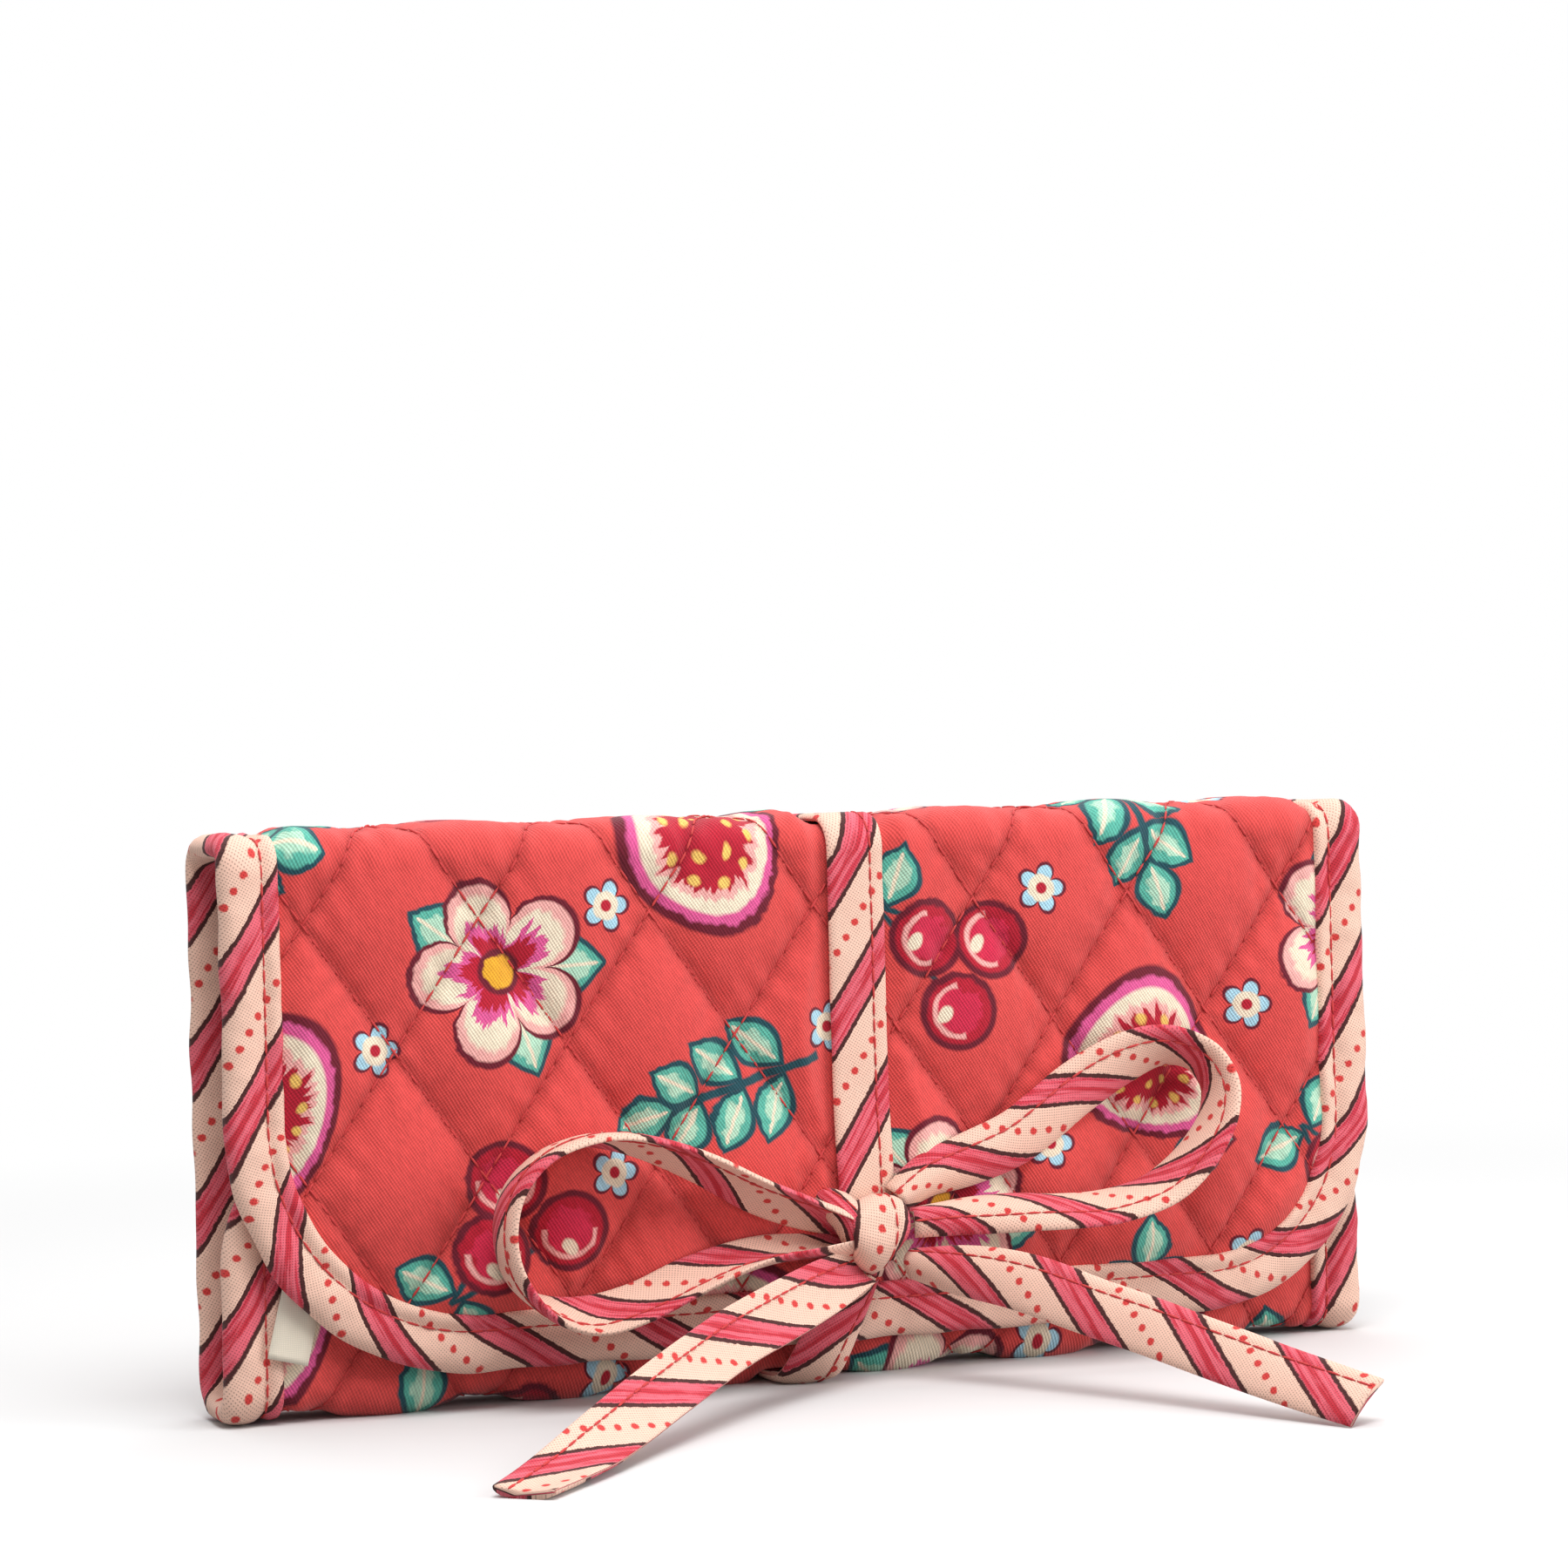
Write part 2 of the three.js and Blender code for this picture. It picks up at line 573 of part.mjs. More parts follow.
// A zipped pocket on a lining: inward is +1 on the flap and -1 on the back panel
function makePocket(lowZ, inward) {
  const face = (inward > 0 ? FLAP_PANEL_Y : BACK_PANEL_Y) - inward * LINING_BACK;
  const off = (w) => face + inward * w;
  const highZ = lowZ + POCKET_HEIGHT;
  const zipZ = highZ - ZIP_BELOW_TOP;
  const slab = (x0, x1, z0, z1, w0, w1) => block(x0, x1, off(w0), off(w1), z0, z1);
  const inner = POCKET_HALF - POCKET_STRIP;
  const slot = POCKET_HALF - 1.4;
  const stopStart = ZIP_HALF + STOP_CLEAR;
  const stopEnd = stopStart + STOP_LENGTH;

  const frame = solid(slab(-POCKET_HALF, POCKET_HALF, lowZ, highZ, POCKET_SEAT, 2.2))
    .subtract(solid(slab(-inner, inner, lowZ + POCKET_STRIP, highZ - POCKET_STRIP, -1, 4)))
    .subtract(solid(slab(-slot, slot, lowZ + 1.4, highZ - 1.4, 0.7, 1.9)));

  const tooth = (sign) => {
    const back = zipZ + sign * 1.9;
    const root = zipZ + sign * 1.2;
    const tip = zipZ + sign * 0.3;
    const points = [[-ZIP_HALF, back], [-ZIP_HALF, root]];
    for (let x = -ZIP_HALF + 0.5; x < ZIP_HALF - TOOTH_PITCH / 2; x += TOOTH_PITCH) {
      points.push([x, root], [x + 0.3, tip], [x + 1.5, tip], [x + 1.8, root]);
    }
    points.push([ZIP_HALF, root], [ZIP_HALF, back]);
    return plate(sign > 0 ? points : points.reverse(), off(1), off(2.1));
  };

  const wing = [[-4.5, -2.6], [-2.5, -3.5], [4.5, -3.1], [4.5, 3.1], [-2.5, 3.5], [-4.5, 2.6]];
  const sliderPlate = (w0, w1) => {
    return solid(plate(wing.map(([x, z]) => [SLIDER_REST_X + x, zipZ + z]), off(w0), off(w1)));
  };
  const part = (x0, x1, halfZ, w0, w1) => {
    return solid(slab(SLIDER_REST_X + x0, SLIDER_REST_X + x1, zipZ - halfZ, zipZ + halfZ, w0, w1));
  };
  const slider = sliderPlate(0.25, 0.75)
    .add(sliderPlate(2.35, 3))
    .add(part(2.4, 4.4, 0.15, 0.6, 2.5))
    .add(part(-2.6, -1.9, 0.6, 2.8, 4.8))
    .add(part(1.9, 2.6, 0.6, 2.8, 4.8))
    .add(part(-2.6, 2.6, 0.6, 4.2, 4.8));
  const pull = part(-0.4, PULL_LENGTH, 2, 3.2, 4).subtract(part(0.4, 3.3, 1.1, 2, 6));

  return {
    window: slab(-slot + 0.3, slot - 0.3, lowZ + 1.7, zipZ - 4.5, 0.85, 1.15),
    edging: geometryOf(frame),
    upper_tape: slab(-slot + 0.3, slot - 0.3, zipZ + 2.1, highZ - 1.7, 1.3, 1.7),
    lower_tape: slab(-slot + 0.3, slot - 0.3, zipZ - 7, zipZ - 2.1, 1.3, 1.7),
    upper_teeth: tooth(1),
    lower_teeth: tooth(-1),
    slider: geometryOf(slider),
    pull: geometryOf(pull),
    left_stop: slab(-stopEnd, -stopStart, zipZ - 2, zipZ + 2, 0.95, 2.3),
    right_stop: slab(stopStart, stopEnd, zipZ - 2, zipZ + 2, 0.95, 2.3),
  };
}

function disc(x, y0, y1, z, profile) {
  const points = profile.map(([r, t]) => new THREE.Vector2(r * SNAP_RADIUS, t * (y1 - y0)));
  const turned = new THREE.LatheGeometry(points, 24);
  turned.translate(0, y0, 0);
  turned.translate(x, 0, z);
  return geometryOf(solid(facingOut(mergeVertices(onlyPlaces(turned), 1e-4))));
}

function onlyPlaces(geometry) {
  for (const name of Object.keys(geometry.attributes)) {
    if (name !== "position") geometry.deleteAttribute(name);
  }
  return geometry;
}

function makeRingBar() {
  const length = BAR_RIGHT - BAR_LEFT;
  const points = [[0, 0], [3.6, 0], [4.6, 0.5], [BAR_RADIUS, 1.6]];
  const profile = points.map(([r, t]) => new THREE.Vector2(r, t));
  points.reverse().forEach(([r, t]) => profile.push(new THREE.Vector2(r, length - t)));
  const bar = new THREE.LatheGeometry(profile, 24);
  bar.rotateZ(-Math.PI / 2);
  bar.translate(BAR_LEFT, BAR_Y, BAR_Z);
  return geometryOf(solid(facingOut(mergeVertices(onlyPlaces(bar), 1e-4))));
}

function makeLabel() {
  const foot = vector(LABEL_FROM_END - HALF, 0, FLAP_HEM_Z + LABEL_ABOVE_HEM);
  const half = LABEL_WIDTH / 2;
  const between = (FLAP_PANEL_Y + INNER_PANEL_Y) / 2;
  const up = vector(0.294, 0, 0.956);
  const across = vector(0.956, 0, -0.294);
  const corner = (a, b) => {
    const p = foot.clone().addScaledVector(across, a).addScaledVector(up, b);
    return [p.x, p.z];
  };
  const top = LABEL_LENGTH;
  const outline = [corner(-half, 0), corner(half, 0), corner(half, top), corner(-half, top)];
  return plate(outline, between - LABEL_THICK / 2, between + LABEL_THICK / 2);
}

const FINISH = {
  shell: { color: 0xc9403a, roughness: 0.85, metalness: 0 },
  lining: { color: 0xf0d2bd, roughness: 0.9, metalness: 0 },
  binding: { color: 0xe0a79c, roughness: 0.85, metalness: 0 },
  tie: { color: 0xe8b9a4, roughness: 0.85, metalness: 0 },
  label: { color: 0xeae6dc, roughness: 0.5, metalness: 0 },
  window: { color: 0xdfe8ea, roughness: 0.12, metalness: 0 },
  tape: { color: 0xb8323a, roughness: 0.9, metalness: 0 },
  teeth: { color: 0xc73f45, roughness: 0.4, metalness: 0 },
  metal: { color: 0xc9b98c, roughness: 0.3, metalness: 1 },
  bar: { color: 0xd8584f, roughness: 0.9, metalness: 0 },
};

const roll = new THREE.Group();
roll.name = "jewelry_roll";

function put(name, finish, geometry) {
  const mesh = new THREE.Mesh(geometry, new THREE.MeshStandardMaterial(FINISH[finish]));
  mesh.name = name;
  roll.add(mesh);
}

// Padded cloth, its lining and the binding along its edges
for (const panel of Object.keys(PANELS)) {
  put(`${panel}_shell`, "shell", geometryOf(shellSolids[panel]));
}
put("flap_lining", "lining", makeLining("flap", FLAP_OUTLINE));
put("top_lining", "lining", makeLining("top"));
put("back_lining", "lining", makeLining("back"));
put("bottom_lining", "lining", makeLining("bottom"));
put("inner_lining", "lining", makeLining("inner", INNER_OUTLINE));
put("flap_binding", "binding", loopedBinding("flap", FLAP_HEM_Z, FLAP_CORNER, -1));
put("inner_binding", "binding", loopedBinding("inner", INNER_TOP_Z, INNER_CORNER, 1));
for (const panel of ["top", "back", "bottom"]) {
  put(`${panel}_binding_left`, "binding", straightBinding(panel, -1));
  put(`${panel}_binding_right`, "binding", straightBinding(panel, 1));
}
put("care_label", "label", makeLabel());

// Tie around the roll, tied in a bow on the flap
for (const [panel, run] of Object.entries(TIE_RUNS)) {
  put(`tie_${panel}_strap`, "tie", tieRun(...run, TIE_BED, 0));
}
const knot = makeKnot();
put("tie_lower_strap", "tie", without(tieRun(...LOWER_RUN, TIE_OVER_HEM, 0), knot));
put("tie_knot", "tie", geometryOf(knot));
put("tie_left_loop", "tie", without(tape(LEFT_LOOP, 40), knot));
put("tie_right_loop", "tie", without(tape(RIGHT_LOOP, 40), knot));
put("tie_left_tail", "tie", without(tape(LEFT_TAIL, 22), knot));
put("tie_right_tail", "tie", without(tape(RIGHT_TAIL, 20), knot));

// Zipped pockets
const POCKETS = { flap: makePocket(FLAP_POCKET_Z, 1), back: makePocket(BACK_POCKET_Z, -1) };
const POCKET_FINISH = {
  window: "window", edging: "binding", upper_tape: "tape", lower_tape: "tape", upper_teeth: "teeth",
  lower_teeth: "teeth", slider: "metal", pull: "metal", left_stop: "metal", right_stop: "metal",
};
for (const [panel, pieces] of Object.entries(POCKETS)) {
  for (const [piece, geometry] of Object.entries(pieces)) {
    const kind = piece === "window" || piece === "edging" ? "pocket" : "zip";
    put(`${panel}_${kind}_${piece}`, POCKET_FINISH[piece], geometry);
  }
}

// Ring bar with its sewn end, its snap tab and the two halves of the snap
const CAP_PROFILE = [[0, 0], [1, 0], [1, 0.35], [0.75, 0.9], [0, 1]];
const SOCKET_PROFILE = [[0, 0], [1, 0], [1, 0.5], [0.7, 1], [0, 1]];
const SNAP_X = BAR_RIGHT + SNAP_FROM_BAR;
const tabFace = BACK_FACE - 1.25;
const barEnd = (x0, x1, y0, y1) => block(x0, x1, y0, y1, BAR_Z - BAR_END_HALF, BAR_Z + BAR_END_HALF);
const anchorRight = BAR_LEFT - 0.4;
const anchorLeft = anchorRight - BAR_END_LENGTH;
const tabLeft = BAR_RIGHT + 0.3;
put("ring_bar", "bar", makeRingBar());
put("ring_bar_anchor", "bar", barEnd(anchorLeft, anchorRight, BACK_FACE - 1.15, BACK_FACE - 0.15));
put("ring_bar_snap_tab", "bar", barEnd(tabLeft, tabLeft + BAR_END_LENGTH + 2, tabFace - 0.8, tabFace));
put("snap_cap", "metal", disc(SNAP_X, tabFace - 0.95, tabFace - 2.3, BAR_Z, CAP_PROFILE));
put("snap_socket", "metal", disc(SNAP_X, BACK_FACE - 0.1, tabFace + 0.25, BAR_Z, SOCKET_PROFILE));

export default roll;
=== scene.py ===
import math
from functools import partialmethod

import bpy
import numpy as np
from mathutils import Matrix, Vector


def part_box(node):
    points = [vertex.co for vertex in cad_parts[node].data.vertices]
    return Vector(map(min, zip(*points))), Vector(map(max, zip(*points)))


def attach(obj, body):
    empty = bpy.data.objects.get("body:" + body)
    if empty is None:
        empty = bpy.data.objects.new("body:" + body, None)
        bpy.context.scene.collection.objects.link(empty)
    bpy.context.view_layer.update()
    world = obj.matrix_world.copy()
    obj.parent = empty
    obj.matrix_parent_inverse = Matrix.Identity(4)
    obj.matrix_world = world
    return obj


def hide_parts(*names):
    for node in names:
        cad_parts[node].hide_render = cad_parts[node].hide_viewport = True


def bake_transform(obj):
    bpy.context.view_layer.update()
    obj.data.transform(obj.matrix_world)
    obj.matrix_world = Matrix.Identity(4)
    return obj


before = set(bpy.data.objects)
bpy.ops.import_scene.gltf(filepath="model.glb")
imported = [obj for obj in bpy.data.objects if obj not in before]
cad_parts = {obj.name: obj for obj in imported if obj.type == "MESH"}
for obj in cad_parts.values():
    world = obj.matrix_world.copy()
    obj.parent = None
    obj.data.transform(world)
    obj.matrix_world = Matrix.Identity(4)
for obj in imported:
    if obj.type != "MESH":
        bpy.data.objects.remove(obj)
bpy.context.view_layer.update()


# Camera
# A long lens from a little left of the middle, almost level with the top of the roll.
yaw, pitch, tilt = (math.radians(angle) for angle in (22.93, 0.34, -1.53))
ahead = Vector((math.sin(yaw) * math.cos(pitch), math.cos(yaw) * math.cos(pitch), -math.sin(pitch)))
level = Vector((math.cos(yaw), -math.sin(yaw), 0))
rise = level.cross(ahead)
right = math.cos(tilt) * level + math.sin(tilt) * rise
upward = math.cos(tilt) * rise - math.sin(tilt) * level
lens = bpy.data.cameras.new("camera")
lens.lens = 96
lens.sensor_width = 36
lens.clip_start = 0.01
camera = bpy.data.objects.new("camera", lens)
bpy.context.collection.objects.link(camera)
stand = Matrix.Translation((-0.2813, -0.6595, 0.1055))
camera.matrix_world = stand @ Matrix((right, upward, -ahead)).transposed().to_4x4()
bpy.context.scene.camera = camera
bpy.context.scene.view_settings.view_transform = "Standard"


# Floor and light
# A white sweep: matt round the roll, so that it takes the shadow, and bright further out.
def feed(tree, node, inputs):
    """Sets inputs of a node, each to a value or to the socket that it is linked from."""
    for socket, value in inputs.items():
        if isinstance(value, bpy.types.NodeSocket):
            tree.links.new(value, node.inputs[socket])
        else:
            node.inputs[socket].default_value = value


def add_node(tree, kind, inputs=None, **settings):
    node = tree.nodes.new(kind)
    for setting, value in settings.items():
        setattr(node, setting, value)
    feed(tree, node, inputs or {})
    return node


def seen_directly(tree, low, high):
    """A high value to the eye, also by way of metal and vinyl, and a low one to the light on the object."""
    path = add_node(tree, "ShaderNodeLightPath")
    seen = path.outputs["Is Camera Ray"]
    for ray in ("Is Transmission Ray", "Is Glossy Ray"):
        either = add_node(tree, "ShaderNodeMath", {0: seen, 1: path.outputs[ray]}, operation="MAXIMUM")
        seen = either.outputs[0]
    return add_node(tree, "ShaderNodeMapRange", {"To Min": low, "To Max": high, "Value": seen}).outputs[0]


world = bpy.data.worlds.new("studio")
bpy.context.scene.world = world
world.use_nodes = True
sky = world.node_tree
sky.nodes.clear()
background = add_node(
    sky, "ShaderNodeBackground", {"Color": (1, 1, 1, 1), "Strength": seen_directly(sky, 0.4, 1)})
add_node(sky, "ShaderNodeOutputWorld", {"Surface": background.outputs[0]})

bpy.ops.mesh.primitive_circle_add(vertices=96, radius=12, fill_type="NGON")
floor = bpy.context.object
floor.name = "floor"
FLOOR_BOUNCE = 0.45
paper = bpy.data.materials.new("paper")
paper.use_nodes = True
tree = paper.node_tree
tree.nodes.clear()
place = add_node(tree, "ShaderNodeTexCoord")
far = add_node(tree, "ShaderNodeVectorMath", {0: place.outputs["Object"]}, operation="LENGTH")
share = add_node(
    tree, "ShaderNodeMapRange", {"From Min": 0.2, "From Max": 0.5, "Value": far.outputs["Value"]},
    interpolation_type="SMOOTHSTEP")
matt = add_node(tree, "ShaderNodeBsdfDiffuse", {"Color": seen_directly(tree, FLOOR_BOUNCE, 0.7)})
glow = add_node(tree, "ShaderNodeEmission", {"Strength": seen_directly(tree, FLOOR_BOUNCE, 1)})
mix = add_node(tree, "ShaderNodeMixShader", {0: share.outputs[0], 1: matt.outputs[0], 2: glow.outputs[0]})
add_node(tree, "ShaderNodeOutputMaterial", {"Surface": mix.outputs[0]})
floor.data.materials.append(paper)

LIT_POINT = Vector((0, 0, 0.04))
for name, spot, size, power in (
    ("overhead", (-0.12, -0.42, 0.85), 0.5, 7.0),
    ("side", (0.75, -0.6, 0.35), 0.7, 6.6),
    ("behind", (0.05, 0.35, 0.8), 0.7, 4.0),
):
    lamp = bpy.data.lights.new(name, "AREA")
    lamp.size = size
    lamp.energy = power
    holder = bpy.data.objects.new(name, lamp)
    bpy.context.collection.objects.link(holder)
    holder.location = spot
    holder.rotation_mode = "QUATERNION"
    holder.rotation_quaternion = (LIT_POINT - Vector(spot)).to_track_quat("-Z", "Y")


# Quilted cloth
# Cotton twill over thin wadding, sewn through in diamonds. It is one strip: up the flap, over the
# top, down the back, under, and up the inner panel, made as one piece per stretch.
FOLD = 3.6
QUARTER = FOLD * math.pi / 2
HALF = 105
HEM = 0.6
HEM_CORNERS = (42, 33)
INNER_CORNERS = (20, 20)
# Runs of the strip: a length and where it starts, or a quarter fold and its centre, and the way it faces
RUNS = [
    (84, (-9.6, 6), 180), (None, (-6, 90), 180), (12, (-6, 93.6), 90), (None, (6, 90), 90),
    (84, (9.6, 90), 0), (None, (6, 6), 0), (7.4, (6, 2.4), -90), (None, (-1.4, 6), -90),
    (40, (-5, 6), -180),
]
LENGTH = sum(QUARTER if run is None else run for run, _, _ in RUNS)


def strip_at(s):
    """Place and outward direction, in y and z, of the cloth's middle at distances from the flap's hem."""
    s = np.asarray(s, float)
    y, z, out_y, out_z = (np.zeros_like(s) for _ in range(4))
    start = 0
    for length, (y0, z0), turn in RUNS:
        on = s >= start if start else np.full(s.shape, True)
        run = (s - start)[on]
        if length is None:
            angle = np.radians(turn - 90 * run / QUARTER)
            y[on], z[on] = y0 + FOLD * np.cos(angle), z0 + FOLD * np.sin(angle)
        else:
            angle = np.full(run.shape, math.radians(turn))
            y[on], z[on] = y0 + run * np.sin(angle), z0 - run * np.cos(angle)
        out_y[on], out_z[on] = np.cos(angle), np.sin(angle)
        start += QUARTER if length is None else length
    return y, z, out_y, out_z


def smooth(value, low, high):
    t = np.clip((np.asarray(value, float) - low) / (high - low), 0, 1)
    return t * t * (3 - 2 * t)


def ripple(x, s, size, seed):
    """Gentle unevenness of hand-sewn cloth, from -1 to 1, made of a few crossing waves."""
    total = 0
    for k in range(5):
        turn = seed * 1.7 + k * 2.4
        wave = (0.7 + 0.23 * k) / size
        total = total + np.sin(2 * math.pi * wave * (x * math.cos(turn) + s * math.sin(turn)) + seed + k * k)
    return total / 3


def vectors(*parts):
    """Parts, each a number or an array, put together as one vector per point."""
    return np.stack(np.broadcast_arrays(*parts), axis=-1)


BULGE, BULGE_LONG = 1.4, 46


def on_cloth(x, s, w):
    """Points in metres at a height w over the middle of the cloth, with the flap's slight bulge."""
    x, s, w = np.broadcast_arrays(np.asarray(x, float), np.asarray(s, float), np.asarray(w, float))
    y, z, out_y, out_z = strip_at(s)
    w = w + BULGE * np.sin(math.pi * np.clip(s / BULGE_LONG, 0, 1)) ** 2 * (1 - (x / HALF) ** 2)
    return vectors(x, y + out_y * w, z + out_z * w) / 1000


def out_of_cloth(s):
    _, _, out_y, out_z = strip_at(s)
    return vectors(0, out_y, out_z)


def from_edge(x, s):
    """Distance in from the bound edge of the cloth, round the flap's and the inner panel's corners."""
    edge = HALF - np.abs(x)
    for end, (left, right) in ((s - HEM, HEM_CORNERS), (LENGTH - s, INNER_CORNERS)):
        corner = np.where(x < 0, left, right)
        past = np.abs(x) - HALF + corner
        bend = corner - np.hypot(past, corner - end)
        edge = np.minimum(edge, np.where((past > 0) & (end < corner), bend, end))
    return edge


TIE_ROUTE = [(14, 5.5), (104.6, 5.5), (194, -6), (204, -4), (260, -4)]


def tie_x(s):
    return np.interp(s, *zip(*TIE_ROUTE))


CROSS_X, CROSS_S = -2, 74.8
DIAMOND_X, DIAMOND_S = 29.8, 42.4
LINES_APART, DIAMOND_SIDE = 24.4, 25.9
GATHER = 5.6


def sewn_lines(x, s):
    """Two counts across the diamonds, each whole on the sewn lines of one direction."""
    a, b = (x - CROSS_X) / DIAMOND_X, (s - CROSS_S) / DIAMOND_S
    return a + b, a - b


def sewn(x, s):
    """0 on the sewn lines of the diamonds, up to 1 in the middle of each."""
    first, second = (np.sqrt(np.sin(math.pi * line) ** 2 + 0.0004) for line in sewn_lines(x, s))
    return first * second


def puckers(x, s):
    """Small gathers that the stitches pull across each sewn line, from about -1 to 1."""
    first, second = sewn_lines(x, s)
    total = 0
    for across, along in ((first, second), (second, first)):
        off_line = np.abs(across - np.round(across)) * LINES_APART
        gather = np.sin(2 * math.pi * along * DIAMOND_SIDE / GATHER + 2 * ripple(x, s, 26, 8))
        total = total + gather * np.exp(-off_line / 3.4) * (1 - np.exp(-off_line / 1.0))
    return total


CREASE, TIE_BED, PILLOW = 0.35, 0.3, 3.5
CROWNS = [(0, 4.0), (204, 3.2), (213, 2.1), (260, 2.1)]
RIDGE_S, RIDGE_LONG = 95.6, 11


def shell_height(x, s):
    """Height of the quilted face: creased at the sewn lines, flattened under the tie and the binding."""
    lobe = sewn(x, s)
    lobe = lobe + (0.6 - lobe) * 0.6 * np.exp(-((s - RIDGE_S) / RIDGE_LONG) ** 2)
    crown = np.interp(s, *zip(*CROWNS)) - CREASE
    full = crown * lobe ** 0.58 * (1 + 0.14 * ripple(x, s, 34, 1))
    full = full + 0.14 * ripple(x, s, 11, 2) * (1 - lobe) + 0.4 * puckers(x, s)
    pressed = smooth(np.abs(x - tie_x(s)), 5, 13)
    pressed = np.where((s > 10) & (s < 213), pressed, 1)
    full = np.minimum(full, TIE_BED + PILLOW * pressed)
    return CREASE + full * smooth(from_edge(x, s), 7, 14)


def make_piece(name, points, faces, material, **fields):
    """A smooth-shaded mesh piece; each field is a vector per point that its material reads."""
    mesh = bpy.data.meshes.new(name)
    mesh.from_pydata(np.asarray(points).reshape(-1, 3).tolist(), [], faces)
    mesh.polygons.foreach_set("use_smooth", np.ones(len(mesh.polygons), bool))
    for field, values in fields.items():
        data = mesh.attributes.new(field, "FLOAT_VECTOR", "POINT").data
        data.foreach_set("vector", np.asarray(values, np.float32).ravel())
    mesh.materials.append(material)
    piece = bpy.data.objects.new(name, mesh)
    bpy.context.collection.objects.link(piece)
    return piece


def grid_faces(rows, columns, ring=False, flip=False):
    """Quads of a grid of points, listed row by row; a ring joins the last column to the first."""
    faces = []
    for j in range(rows - 1):
        for i in range(columns if ring else columns - 1):
            k = (i + 1) % columns
            face = (j * columns + i, j * columns + k, (j + 1) * columns + k, (j + 1) * columns + i)
            faces.append(face[::-1] if flip else face)
    return faces


class Num:
    """A number that varies over a surface, as a chain of Math nodes in one node tree."""

    def __init__(self, tree, socket):
        self.tree, self.socket = tree, socket

    def math(self, operation, *others, clamp=False):
        values = [value.socket if isinstance(value, Num) else value for value in (self, *others)]
        node = add_node(
            self.tree, "ShaderNodeMath", dict(enumerate(values)), operation=operation, use_clamp=clamp)
        return Num(self.tree, node.outputs[0])

    def wave(self, length):
        return (self * (2 * math.pi / length)).sin()

    def inside(self, soft):
        """1 where a distance is below zero, 0 where it is above, with a soft step between."""
        return self.math("MULTIPLY_ADD", -1 / soft, 0.5, clamp=True)


for method, operation in (
    ("__add__", "ADD"), ("__sub__", "SUBTRACT"), ("__mul__", "MULTIPLY"), ("__truediv__", "DIVIDE"),
    ("__pow__", "POWER"), ("__abs__", "ABSOLUTE"), ("sin", "SINE"), ("cos", "COSINE"),
    ("floor", "FLOOR"), ("part", "FRACT"), ("least", "MINIMUM"), ("most", "MAXIMUM"),
):
    setattr(Num, method, partialmethod(Num.math, operation))


def hypot(a, b):
    return (a * a + b * b).math("SQRT")


def node_group(name, inputs, outputs, kind="ShaderNodeTree"):
    tree = bpy.data.node_groups.new(name, kind)
    for way, sockets in (("INPUT", inputs), ("OUTPUT", outputs)):
        for socket, form in sockets.items():
            tree.interface.new_socket(socket, in_out=way, socket_type="NodeSocket" + form)
    return tree, tree.nodes.new("NodeGroupInput"), tree.nodes.new("NodeGroupOutput")


def parts_of(tree, vector):
    node = add_node(tree, "ShaderNodeSeparateXYZ", {0: vector})
    return [Num(tree, socket) for socket in node.outputs]


def joined(tree, *numbers):
    sockets = [number.socket for number in numbers]
    return add_node(tree, "ShaderNodeCombineXYZ", dict(enumerate(sockets))).outputs[0]


def noise(tree, vector, scale, detail=2):
    """Soft noise from about -0.5 to 0.5."""
    node = add_node(tree, "ShaderNodeTexNoise", {"Scale": scale, "Detail": detail, "Vector": vector})
    return Num(tree, node.outputs["Fac"]) - 0.5


def paint(tree, under, share, colour):
    """Colour over another colour, by a share that may vary."""
    node = add_node(tree, "ShaderNodeMix", {"Factor": share.socket}, data_type="RGBA")
    places = [index for index, socket in enumerate(node.inputs) if socket.type == "RGBA"]
    layers = [(*layer, 1) if isinstance(layer, tuple) else layer for layer in (under, colour)]
    feed(tree, node, dict(zip(places, layers)))
    return [socket for socket in node.outputs if socket.type == "RGBA"][0]


def shaded(tree, colour, share):
    """Colour darkened by a share that varies, 1 leaving it as it is."""
    node = add_node(tree, "ShaderNodeVectorMath", {0: colour, "Scale": share.socket}, operation="SCALE")
    return node.outputs[0]


CREAM = (0.78, 0.66, 0.50)
MAROON = (0.13, 0.006, 0.018)
CRIMSON = (0.42, 0.008, 0.026)
ROSE = (0.66, 0.09, 0.27)
BLUSH = (0.80, 0.38, 0.35)
TEAL = (0.09, 0.40, 0.31)
DEEP_TEAL = (0.010, 0.060, 0.078)
MUSTARD = (0.72, 0.34, 0.022)
PALE_BLUE = (0.36, 0.60, 0.72)
CORAL = (0.60, 0.056, 0.052)
LIGHT_CORAL = (0.66, 0.068, 0.062)
PALE_TEAL = (0.40, 0.64, 0.48)
RUBY = (0.56, 0.018, 0.06)
HONEY = (0.80, 0.50, 0.12)

tree, given, result = node_group("garden_twill", {"Cloth": "Vector"}, {"Color": "Color", "Height": "Float"})
cloth = given.outputs["Cloth"]
x, s, _ = parts_of(tree, cloth)
ragged = noise(tree, cloth, 0.5)
colour = paint(tree, CORAL, noise(tree, cloth, 0.035) * 0.9 + 0.5, LIGHT_CORAL)

